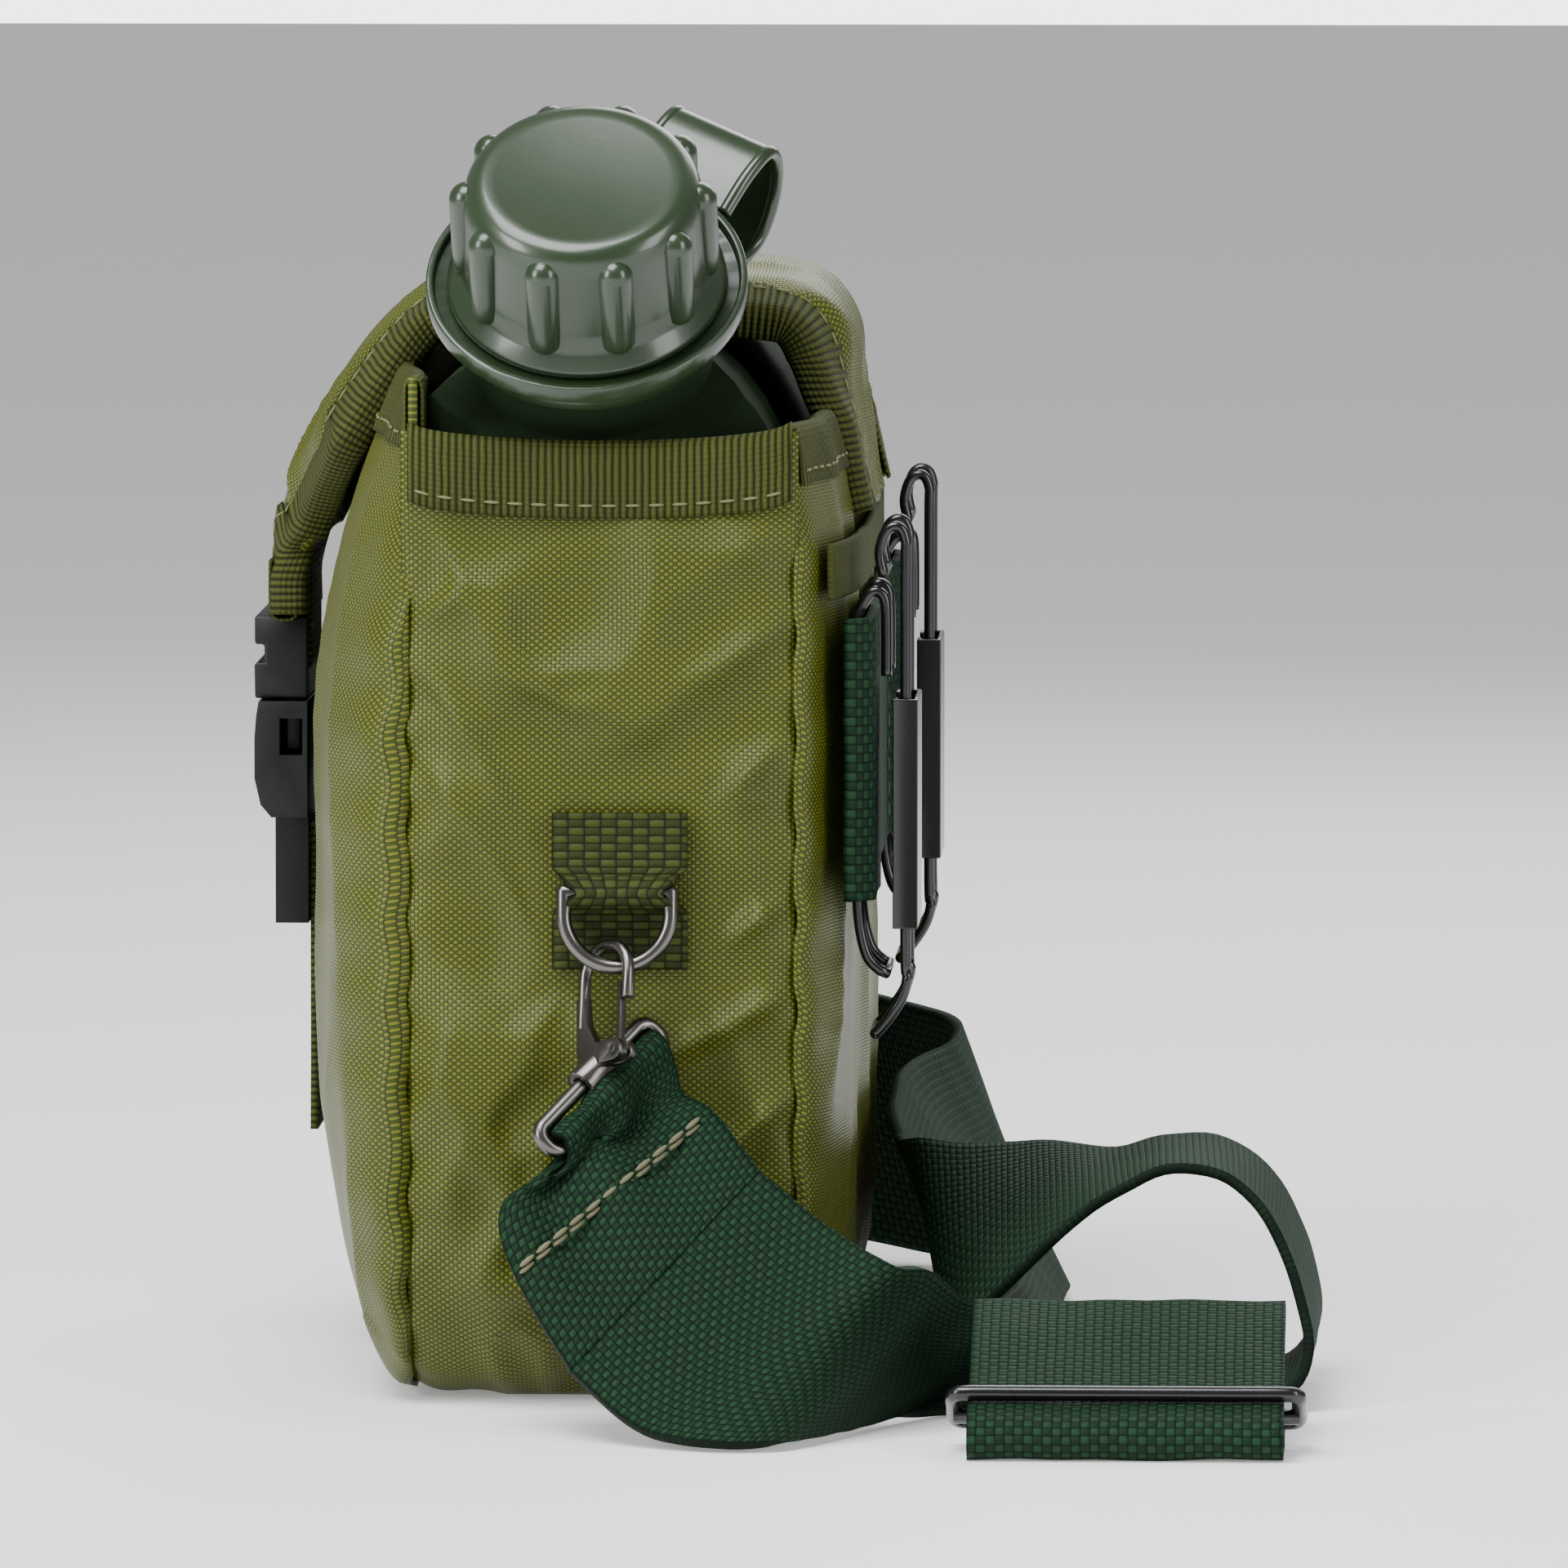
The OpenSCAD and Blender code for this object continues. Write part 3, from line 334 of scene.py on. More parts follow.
cap_plastic = solid("cap_plastic", (0.013, 0.027, 0.009), (0.018, 0.034, 0.013), 0.26, 900, 0.00006,
                    Coat_Weight=0.3, Coat_Roughness=0.12)
bottle_plastic = solid("bottle_plastic", (0.007, 0.016, 0.006), (0.012, 0.022, 0.009), 0.8, 1500, 0.0004,
                       Specular_IOR_Level=0.1)
buckle_plastic = solid("buckle_plastic", (0.005, 0.006, 0.006), (0.010, 0.011, 0.011), 0.42, 1800, 0.0001,
                       Specular_IOR_Level=0.25)
liner_rubber = solid("liner_rubber", (0.02, 0.02, 0.02), (0.03, 0.03, 0.03), 0.7, 900, 0.0001)
nickel = solid("gunmetal_nickel", (0.17, 0.16, 0.15), (0.08, 0.077, 0.073), 0.24, 700, 0.00008, metal=1.0)
lacquer = solid("black_lacquer", (0.003, 0.003, 0.0035), (0.008, 0.008, 0.008), 0.22, 900, 0.00006,
                Coat_Weight=0.2, Coat_Roughness=0.1)
thread = solid("pale_thread", (0.13, 0.14, 0.055), (0.09, 0.10, 0.04), 0.7, 2500, 0.0001)
tan_thread = solid("tan_thread", (0.15, 0.14, 0.07), (0.10, 0.095, 0.05), 0.75, 2500, 0.0001)
green_thread = solid("green_thread", (0.022, 0.048, 0.028), (0.015, 0.034, 0.02), 0.7, 2500, 0.0001)
floor_paint = solid("pale_floor", (0.88, 0.88, 0.88), (0.86, 0.86, 0.86), 0.6, 40, 0.0001,
                    Emission_Color=(1, 1, 1, 1), Emission_Strength=0.25)
print("finishes:", len(bpy.data.materials))

# %% Floor
floor_form = bmesh.new()
bmesh.ops.create_grid(floor_form, x_segments=2, y_segments=2, size=6)
floor_mesh = bpy.data.meshes.new("floor")
floor_form.to_mesh(floor_mesh)
floor_form.free()
floor_mesh.materials.append(floor_paint)
floor = bpy.data.objects.new("floor", floor_mesh)
bpy.context.scene.collection.objects.link(floor)

# %% [markdown]
# ## Helpers for sewn pieces
# Every cloth piece starts as a flat grid, as real cloth does. Each grid point is moved to its
# place by a small function, and its UV keeps its place in the flat cloth, in metres. Thickness
# comes last, from a Solidify modifier, so that the weave stays on both faces.

# %% Cloth helper
def add_piece(name, form, material, body, stands_for=(), smooth=True):
    mesh = bpy.data.meshes.new(name)
    form.to_mesh(mesh)
    form.free()
    mesh.materials.append(material)
    mesh.polygons.foreach_set("use_smooth", [smooth] * len(mesh.polygons))
    piece = bpy.data.objects.new(name, mesh)
    bpy.context.scene.collection.objects.link(piece)
    if stands_for:
        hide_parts(*stands_for)
    if body:
        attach(piece, body)
    print(name, len(mesh.polygons), "faces")
    return piece


def cloth_form(across, along, place, flat, keep=None, turn_over=False):
    form = bmesh.new()
    bmesh.ops.create_grid(form, x_segments=across, y_segments=along, size=1)
    sewn = form.loops.layers.uv.new("UVMap")
    for face in form.faces:
        for loop in face.loops:
            u, v = (loop.vert.co.x + 1) / 2, (loop.vert.co.y + 1) / 2
            loop[sewn].uv = (u * flat[0], v * flat[1])
    if keep:
        cut = [f for f in form.faces
               if not keep((f.calc_center_median().x + 1) / 2, (f.calc_center_median().y + 1) / 2)]
        bmesh.ops.delete(form, geom=cut, context="FACES")
    for vert in form.verts:
        vert.co = place((vert.co.x + 1) / 2, (vert.co.y + 1) / 2)
    if turn_over:
        bmesh.ops.reverse_faces(form, faces=form.faces)
    return form


def thicken(piece, amount, offset=-1.0):
    wall = piece.modifiers.new("thickness", "SOLIDIFY")
    wall.thickness = amount
    wall.offset = offset
    wall.use_even_offset = False
    return piece


# %% Curves and creases
def smooth(points, steps):
    out = []
    for i in range(len(points) - 1):
        a, b = points[max(0, i - 1)], points[i]
        c, d = points[i + 1], points[min(len(points) - 1, i + 2)]
        for k in range(steps):
            u = k / steps
            out.append(0.5 * (2 * b + (c - a) * u + (2 * a - 5 * b + 4 * c - d) * u * u
                              + (3 * b - 3 * c + d - a) * u ** 3))
    return out + [points[-1]]


def measured(points):
    run = [0.0]
    for a, b in zip(points, points[1:]):
        run.append(run[-1] + (b - a).length)
    return run


def at_length(values, run, length):
    i = 0
    hi = len(run) - 1
    while hi - i > 1:
        m = (i + hi) // 2
        if run[m] <= length:
            i = m
        else:
            hi = m
    span = run[hi] - run[i]
    return values[i].lerp(values[hi], min(1, max(0, (length - run[i]) / span if span else 0)))


def dome(s, power):
    return sqrt(max(0.0, 1 - min(1.0, abs(s)) ** power))


def crease(p, size, seed, power=1.6):
    fold = noise.noise(Vector((p[0] / size[0], p[1] / size[1], p[2] / size[2])) + Vector((seed, seed, seed)))
    return (1 - abs(fold) * 2) ** power if abs(fold) < 0.5 else 0.0


def ease(x):
    x = min(1.0, max(0.0, x))
    return x * x * (3 - 2 * x)


# %% Stitch and wire helpers
def stitch_row(name, line, out, material, body, length=2.6 * MM, gap=1.2 * MM, radius=0.26 * MM,
               lift=0.0):
    run = measured(line)
    form = bmesh.new()
    s = gap
    while s + length < run[-1]:
        a, b = at_length(line, run, s), at_length(line, run, s + length)
        n = at_length(out, run, s + length / 2).normalized()
        across = (b - a).normalized()
        mid = (a + b) / 2 + n * lift
        turned = Matrix((across.cross(n), n, across)).transposed().to_4x4()
        made = bmesh.ops.create_uvsphere(form, u_segments=6, v_segments=5, radius=1)
        size = Matrix.Diagonal((radius, radius, length / 2, 1))
        bmesh.ops.transform(form, matrix=Matrix.Translation(mid) @ turned @ size, verts=made["verts"])
        s += length + gap
    return add_piece(name, form, material, body)


def wire_piece(name, points, radius, material, body, stands_for=(), loop=False):
    curve = bpy.data.curves.new(name, "CURVE")
    curve.dimensions = "3D"
    curve.bevel_depth = radius
    curve.bevel_resolution = 4
    curve.use_fill_caps = not loop
    spline = curve.splines.new("POLY")
    spline.points.add(len(points) - 1)
    for target, point in zip(spline.points, points):
        target.co = (*point, 1)
    spline.use_cyclic_u = loop
    holder = bpy.data.objects.new(name + "_line", curve)
    bpy.context.scene.collection.objects.link(holder)
    bpy.context.view_layer.update()
    form = bmesh.new()
    form.from_mesh(bpy.data.meshes.new_from_object(holder))
    bmesh.ops.remove_doubles(form, verts=form.verts, dist=1e-7)
    bmesh.ops.recalc_face_normals(form, faces=form.faces)
    bpy.data.objects.remove(holder)
    return add_piece(name, form, material, body, stands_for)


# %% Softened copy of a hard node
def softened(node, name, material, body, width, segments=3, sharp=25):
    form = bmesh.new()
    form.from_mesh(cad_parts[node].data)
    bmesh.ops.remove_doubles(form, verts=form.verts, dist=2e-6)
    bmesh.ops.dissolve_limit(form, angle_limit=radians(1), verts=form.verts, edges=form.edges)
    bmesh.ops.triangulate(form, faces=[f for f in form.faces if len(f.verts) > 4])
    piece = add_piece(name, form, material, body, (node,))
    edge = piece.modifiers.new("round_edges", "BEVEL")
    edge.limit_method = "ANGLE"
    edge.angle_limit = radians(sharp)
    edge.width = width
    edge.segments = segments
    edge.harden_normals = True
    edge.use_clamp_overlap = True
    return piece


# %% [markdown]
# ## The side gusset
# One long strip of nylon runs down the near side, under the bottle and up the far side. It is
# the part that is seen most. Sewing pulls it into short puckers at each seam, and the bottle
# behind it leaves long slanting folds between. Those folds are made with ridged noise that is
# stretched along their run, which gives the crisp crests that a cloth solver also gives.

# %% Gusset shape
half_w, corner_r, rim_z = 93 * MM, 22 * MM, 158.5 * MM
gusset_y = (-33.6 * MM, 30.6 * MM)
side_run, corner_run, base_run = rim_z - corner_r, corner_r * pi / 2, 2 * (half_w - corner_r)
gusset_len = 2 * side_run + 2 * corner_run + base_run


def gusset_path(s):
    far = s > gusset_len / 2
    s = gusset_len - s if far else s
    if s < side_run:
        x, z, nx, nz = half_w, rim_z - s, 1, 0
    elif s < side_run + corner_run:
        a = (s - side_run) / corner_r
        x, z = half_w - corner_r + corner_r * cos(a), corner_r - corner_r * sin(a)
        nx, nz = cos(a), -sin(a)
    else:
        x, z, nx, nz = half_w - corner_r - (s - side_run - corner_run), 0, 0, -1
    return (-x if far else x), z, (-nx if far else nx), nz


def pucker(s, d, reach, pitch, seed):
    shift = noise.noise(Vector((s / (pitch * 2.5), seed, 0))) * 2.2
    size = 0.5 + 0.8 * abs(noise.noise(Vector((s / (pitch * 3), seed, 7))))
    return size * sin(2 * pi * s / pitch + shift) * exp(-d / reach)


def gusset_place(u, v):
    s = v * gusset_len
    x, z, nx, nz = gusset_path(s)
    y = gusset_y[0] + u * (gusset_y[1] - gusset_y[0])
    d_front, d_back = y - gusset_y[0], gusset_y[1] - y
    near_seam = min(d_front, d_back)
    body = ease(near_seam / (9 * MM))
    c, t = y * 0.80 + z * 0.60, -y * 0.60 + z * 0.80
    long_fold = crease((t, c + x, s * 0.1), (17 * MM, 55 * MM, 60 * MM), 3.1, 2.4)
    cross_fold = crease((c, t + x, s * 0.1), (15 * MM, 46 * MM, 60 * MM), 8.7, 2.6)
    slow = noise.noise(Vector((y, x, z)) / (26 * MM))
    lift = -2.0 + 4.0 * long_fold * body + 2.6 * cross_fold * body + 1.4 * slow * body
    lift += 0.75 * pucker(s, d_front, 7 * MM, 11 * MM, 1) + 0.75 * pucker(s, d_back, 6 * MM, 13 * MM, 2)
    lift -= 1.6 * exp(-near_seam / (1.6 * MM))
    tab = ease((max(abs(y - 2.5 * MM) - 13 * MM,
                    abs(z - 84.5 * MM) - 15 * MM)) / (9 * MM)) if abs(nx) > 0.9 else 1
    lift = lift * tab - 0.25 * (1 - tab)
    rim = ease((z - 132 * MM) / (14 * MM))
    lift = lift * (1 - 0.75 * rim) - 0.3 * rim
    lift = min(lift, 2.6) * MM
    if nz < -0.5:
        lift = min(lift, 0.0)
    sag = 3.2 * MM * ease((z - 140 * MM) / (18 * MM)) * dome((y + 1.5 * MM) / (31 * MM), 2)
    return Vector((x + nx * lift, y, max(0.0, z + nz * lift) - sag))


form = cloth_form(64, 480, gusset_place, (gusset_y[1] - gusset_y[0], gusset_len), turn_over=True)
gusset = thicken(add_piece("gusset_cloth", form, nylon, "cover", ("side_gusset",)), 1.4 * MM)

# %% [markdown]
# ## Front and back panels
# Each panel is a rounded pillow face. The grid is square, and its two lower corners are squeezed
# into quarter circles, so that the rows of the weave still meet the seam squarely. A panel turns
# in at its seam, where it was sewn inside out, and the seam draws it into puckers.

# %% Panel helpers
def rounded(u, v, top):
    x, z = u * half_w, v * top
    a = (abs(x) - (half_w - corner_r)) / corner_r
    b = (corner_r - z) / corner_r
    if a > 0 and b > 0:
        a, b = a * sqrt(1 - b * b / 2), b * sqrt(1 - a * a / 2)
        x = (half_w - corner_r + corner_r * a) * (1 if x > 0 else -1)
        z = corner_r - corner_r * b
    return x, z


def panel_place(u, v, top, seam, bulge, power, full, lean_from, lean, lean_rise, facing, seed):
    a = 2 * u - 1
    x, z = rounded(a, v, top)
    square_z = v * top
    rise = 1.0 if square_z > full else dome((full - square_z) / full, power)
    out = seam + bulge * min(dome(a, power), 1) * rise
    out -= lean * max(0.0, (z - lean_from) / lean_rise) ** 2
    edge = min((1 - abs(a)) * half_w, square_z)
    along = z if (1 - abs(a)) * half_w < square_z else x
    body = ease(edge / (14 * MM))
    fold = crease((x, z * 0.35 + seed, 0.02), (24 * MM, 30 * MM, 1), seed, 2.0)
    slow = noise.noise(Vector((x, seed, z)) / (34 * MM))
    wave = 1.3 * fold * body + 0.8 * slow * body - 1.2
    wave += 0.9 * pucker(along, edge, 9 * MM, 15 * MM, seed)
    out += wave * MM
    tuck = 2.0 * MM * exp(-edge / (1.5 * MM))
    return Vector((x * (1 - tuck / half_w), facing * max(out, seam - 1.2 * MM), max(z + tuck * 0.5, 0.0)))


# %% Front panel
front_top = 166 * MM


def front_place(u, v):
    return panel_place(u, v, front_top, 33.6 * MM, 18.4 * MM, 3, 88 * MM, 100 * MM, 14 * MM, 66 * MM, -1, 4.0)


form = cloth_form(150, 140, front_place, (2 * half_w, front_top))
front = thicken(add_piece("front_cloth", form, nylon, "cover", ("front_panel",)), 1.5 * MM)

# %% Back panel, with a gap for the flap
back_top = 158.5 * MM
notch = (-46.6 * MM, 42.6 * MM, 140.6 * MM)


def back_place(u, v):
    at = panel_place(u, v, back_top, 31.0 * MM, 7.9 * MM, 4, 60 * MM, 130 * MM, 7 * MM, 36 * MM, 1, 6.0)
    return at


def back_keep(u, v):
    x, z = (2 * u - 1) * half_w, v * back_top
    return not (notch[0] < x < notch[1] and z > notch[2])


form = cloth_form(148, 135, back_place, (2 * half_w, back_top), back_keep, turn_over=True)
back_sheet = thicken(add_piece("back_cloth", form, nylon, "cover", ("back_panel",)), 1.4 * MM)

# %% [markdown]
# ## Edge tape
# Cut nylon frays, so every open edge is bound: a ribbed tape is folded over it and sewn through.
# The tape is one strip whose cross-section is a narrow U. The same helper binds the gusset's
# rims, the panels' tops and the flap, from the edge's line, the way out and the way in.

# %% Binding helper
def bound_edge(name, line, out, inward, wall, reach, body, stands_for=(), stitch=True):
    run = measured(line)
    section = [(reach, 0.55 * MM), (reach * 0.5, 0.6 * MM), (0.8 * MM, 0.6 * MM), (-0.5 * MM, 0.1 * MM),
               (-0.9 * MM, -wall * 0.2), (-0.9 * MM, -wall * 0.8), (-0.5 * MM, -wall - 0.1 * MM),
               (0.8 * MM, -wall - 0.6 * MM),
               (reach * 0.5, -wall - 0.6 * MM), (reach, -wall - 0.55 * MM)]
    shape = [Vector((a, b, 0)) for a, b in section]
    round_run = measured(shape)

    def place(u, v):
        s = v * run[-1]
        p, n, i = at_length(line, run, s), at_length(out, run, s).normalized(), at_length(inward, run,
                                                                                          s).normalized()
        q = at_length(shape, round_run, u * round_run[-1])
        ripple = 0.25 * MM * noise.noise(Vector((s / (9 * MM), u * 2, len(name))))
        return p + i * q.x + n * (q.y + ripple)

    form = cloth_form(22, max(12, int(run[-1] / (1.6 * MM))), place, (round_run[-1], run[-1]))
    piece = thicken(add_piece(name, form, tape, body, stands_for), 0.5 * MM, 0.0)
    if stitch:
        rows = [p + i.normalized() * (reach - 2.2 * MM) for p, i in zip(line, inward)]
        sew = stitch_row(name + "_stitches", rows, out, thread, body, lift=0.95 * MM)
    return piece


# %% Rims of the gusset and tops of the panels
def rim_line(side, steps=36):
    line = []
    for k in range(steps + 1):
        y = -32.4 * MM + (29.6 + 32.4) * MM * k / steps
        sag = 3.2 * MM * dome((y + 1.5 * MM) / (31 * MM), 2)
        line.append(Vector((side * half_w, y, rim_z + 0.6 * MM - sag)))
    return line


for side, name in ((1, "near"), (-1, "far")):
    line = rim_line(side)
    bound_edge("rim_tape_" + name, line, [Vector((side, 0, 0))] * len(line), [Vector((0, 0, -1))] * len(line),
               1.6 * MM, 11.5 * MM, "cover", ("binding_" + name,))


def top_line(place, v, x0, x1, span, steps=60):
    line, out, inward = [], [], []
    for k in range(steps + 1):
        u = (((x0 + (x1 - x0) * k / steps) / half_w) + 1) / 2
        p, below = place(u, v), place(u, v - 0.05)
        beside = place(min(1, u + 0.01), v) - place(max(0, u - 0.01), v)
        line.append(p)
        inward.append((below - p).normalized())
        n = beside.cross(below - p).normalized()
        out.append(n if n.y * p.y > 0 else -n)
    return line, out, inward


line, out, inward = top_line(front_place, 1.0, -90 * MM, 90 * MM, 0)
bound_edge("front_top_tape", line, out, inward, 1.6 * MM, 11 * MM, "cover")
for name, x0, x1 in (("near", 43.4 * MM, 90 * MM), ("far", -90 * MM, -47.4 * MM)):
    line, out, inward = top_line(back_place, 1.0, x0, x1, 0, 30)
    bound_edge("back_top_tape_" + name, line, out, inward, 1.6 * MM, 9 * MM, "cover")

# %% [markdown]
# ## The flap
# The flap is a stiff padded strip sewn to the back, bent over the top and narrowed to a tongue
# at the front, where its strap goes down to the buckle. It turns about its back seam, so all of
# it rides on the flap's own body.

# %% Flap shape
flap_side = [(-59.2, 123.4), (-59.2, 131), (-58.9, 138.7), (-52.8, 152.5), (-43.6, 167), (-33.4, 176.5),
             (-20, 180.3), (0, 181.2), (20.6, 180.2), (30.4, 177.9), (35.8, 170.3), (36.8, 160), (38.6, 150),
             (40.4, 142.6)]
flap_line = smooth([Vector((0, y, z)) * MM for y, z in flap_side], 8)
flap_run = measured(flap_line)
taper = [(0, 19), (10.5, 19.2), (16, 22), (36.5, 43.6), (500, 43.6)]


def flap_half(s):
    s = s / MM
    for (a, wa), (b, wb) in zip(taper, taper[1:]):
        if s <= b:
            return (wa + (wb - wa) * ease((s - a) / (b - a))) * MM
    return taper[-1][1] * MM


def flap_ends(s):
    half = flap_half(s)
    whole = ease((half / MM - 22) / 21.6)
    return (-half - 2 * MM * whole) + 0.4 * MM * whole, half - 1.6 * MM * whole


def flap_frame(s):
    p = at_length(flap_line, flap_run, s)
    ahead = at_length(flap_line, flap_run, min(flap_run[-1], s + 1.5 * MM))
    behind = at_length(flap_line, flap_run, max(0, s - 1.5 * MM))
    along = (ahead - behind).normalized()
    return p, Vector((0, -along.z, along.y)), along


def droop(s):
    s, rise = s / MM, flap_run[-1] / MM - s / MM
    return (4.2 * ease((s - 5) / 12) * (1 - 0.75 * ease((s - 45) / 25)) * (1 - ease((s - 70) / 15))
            + 4.6 * ease((s - 84) / 14) * ease((rise - 12) / 16)) * MM


def flap_place(u, v):
    s = v * flap_run[-1]
    p, n, along = flap_frame(s)
    x0, x1 = flap_ends(s)
    x = x0 + (x1 - x0) * u
    edge = min(u, 1 - u) * (x1 - x0)
    fold = crease((x, s * 0.6, 0.1), (18 * MM, 26 * MM, 1), 5.5, 2.2)
    puff = 1.3 * MM * ease(edge / (16 * MM)) * ease(s / (40 * MM)) * ease((flap_run[-1] - s) / (14 * MM))
    lift = (1.5 * fold + 0.8 * noise.noise(Vector((x, s, 0)) / (22 * MM)) - 0.9) * MM * ease(edge / (8 * MM))
    return Vector((x, p.y,
                   p.z)) + n * (puff + lift * ease(s / (30 * MM)) - droop(s) * (1 - ease(edge / (13 * MM))))


form = cloth_form(64, 150, flap_place, (88 * MM, flap_run[-1]))
flap = thicken(add_piece("flap_cloth", form, nylon, "flap", ("flap",)), 3.2 * MM)

# %% Flap binding
def flap_edge(side, steps=150):
    line, out, inward = [], [], []
    for k in range(steps + 1):
        s = flap_run[-1] * k / steps
        p, n, along = flap_frame(s)
        step = 1 * MM
        x = flap_ends(s)[1 if side > 0 else 0]
        ahead = flap_ends(min(flap_run[-1], s + step))[1 if side > 0 else 0]
        run_on = Vector((ahead - x, 0, 0)) + along * step
        inner = n.cross(run_on).normalized()
        inner = inner if inner.x * side < 0 else -inner
        sunk = droop(s)
        line.append(Vector((x, p.y, p.z)) - n * sunk)
        inward.append((inner * 13 * MM + n * sunk).normalized())
        out.append((n * 13 * MM - inner * sunk).normalized())
    return line, out, inward


for side, name in ((1, "near"), (-1, "far")):
    line, out, inward = flap_edge(side)
    bound_edge("flap_tape_" + name, line, out, inward, 4.8 * MM, 9.5 * MM, "flap", ("flap_binding",))
tip_line = [Vector((x * MM, -59.2 * MM, 123.4 * MM)) for x in range(-19, 20)]
bound_edge("flap_tape_tip", tip_line, [Vector((0, -1, 0))] * 39, [Vector((0, 0, 1))] * 39, 3.4 * MM, 9 * MM,
           "flap")

# %% [markdown]
# ## Straps on the front, bands on the back
# The buckle hangs from two short webbing straps. Across the back a wide band of strap webbing is
# sewn down at its ends and between the clips, and a narrow band covers the seam above it.

# %% Short straps
def flat_strap(name, x0, x1, side_line, thick, material, body, stands_for):
    line = smooth([Vector((0, y, z)) * MM for y, z in side_line], 6)
    run = measured(line)
    form = cloth_form(14, 40, lambda u, v: at_length(line, run,
                                                     v * run[-1]) + Vector((x0 + (x1 - x0) * u, 0, 0)) * MM,
                      ((x1 - x0) * MM, run[-1]))
    piece = thicken(add_piece(name, form, material, body, stands_for), thick * MM, 0.0)
    return piece


flat_strap("flap_strap_web", -12.4, 12.4, [(-54.05, 114.9), (-54.05, 126), (-54.05, 137)], 1.4, tape,
           "flap", ("flap_strap",))
front_side = [(-53.1, 37), (-53.0, 50), (-53.0, 64), (-53.0, 76), (-53.0, 88)]
flat_strap("front_strap_web", -12.4, 12.4, front_side, 1.3, tape, "cover", ("front_strap",))

# %% Bands on the back
clip_x = (68 * MM, -62 * MM)


def back_curve(x):
    return (31.5 + 7.5 * dome(x / half_w, 4)) * MM


def tunnel(x):
    def one(d):
        d = abs(d) / MM
        return 1.0 if d < 12.5 else 0.0 if d > 21.5 else 0.5 + 0.5 * cos(pi * (d - 12.5) / 9)
    return max(one(x - clip_x[0]), one(x - clip_x[1]))


def band_place(x_end, z0, z1, out, rise):
    def place(u, v):
        x, z = x_end * (2 * v - 1), z0 + (z1 - z0) * u
        low = back_curve(x) + out
        y = low + max(0.0, rise - low) * tunnel(x) + 0.2 * MM * noise.noise(Vector((x, z, 0)) / (12 * MM))
        return Vector((x, y, z))
    return place


band_over = 41.85 * MM
form = cloth_form(40, 140, band_place(86 * MM, 82 * MM, 127.8 * MM, 1.1 * MM, band_over),
                  (45.8 * MM, 178 * MM))
band = thicken(add_piece("back_band_web", form, webbing, "cover", ("back_band",)),
               1.6 * MM, 0.0)
form = cloth_form(12, 120, band_place(88 * MM, 131 * MM, 140 * MM, 0.7 * MM, 0), (9 * MM, 176 * MM))
seam_tape = thicken(add_piece("back_seam_tape", form, tape, "cover", ("back_seam_band",)),
                    0.9 * MM, 0)

for at, name in ((83.6 * MM, "edge_near"), (44 * MM, "inner_near"), (-38 * MM, "inner_far"),
                 (-83.6 * MM, "edge_far")):
    line = [Vector((at, back_curve(at) + 1.1 * MM, z * MM)) for z in range(84, 127, 2)]
    stitch_row("band_stitches_" + name, line, [Vector((0, 1, 0))] * len(line), green_thread,
               "cover", lift=0.95 * MM)

# %% [markdown]
# ## The shoulder strap
# Strap webbing bends easily along its length and hardly at all across, so its route is given as
# its two edges. It leaves the near snap hook, drops to the floor, rolls over in an arch, passes
# behind the cover and climbs to the far hook. Both short ends are separate pieces.

# %% Strap route
def pairs(*rows):
    return [(Vector(r[:3]) * MM, Vector(r[3:]) * MM) for r in rows]


ring_along = Vector((-5.9, 5.7, 5.7)).normalized()
ring_pull = Vector((3.3, 2, -8.7))
ring_down = (ring_pull - ring_along * ring_pull.dot(ring_along)).normalized()
ring_out = ring_along.cross(ring_down)
if ring_out.x < 0:
    ring_out = -ring_out
ring_bar = Vector((103.67, 0.95, 51.85)) * MM


def round_bar(sign):
    rows = []
    for angle in (200, 160, 125, 90, 55, 20):
        a = radians(angle)
        mid = ring_bar + ring_out * (2.5 * MM * cos(a)) - ring_down * (2.5 * MM * sin(a))
        rows.append((mid - ring_along * 13 * MM, mid + ring_along * 13 * MM))
    return [(Vector((sign * a.x, a.y, a.z)), Vector((sign * b.x, b.y, b.z))) for a, b in rows]


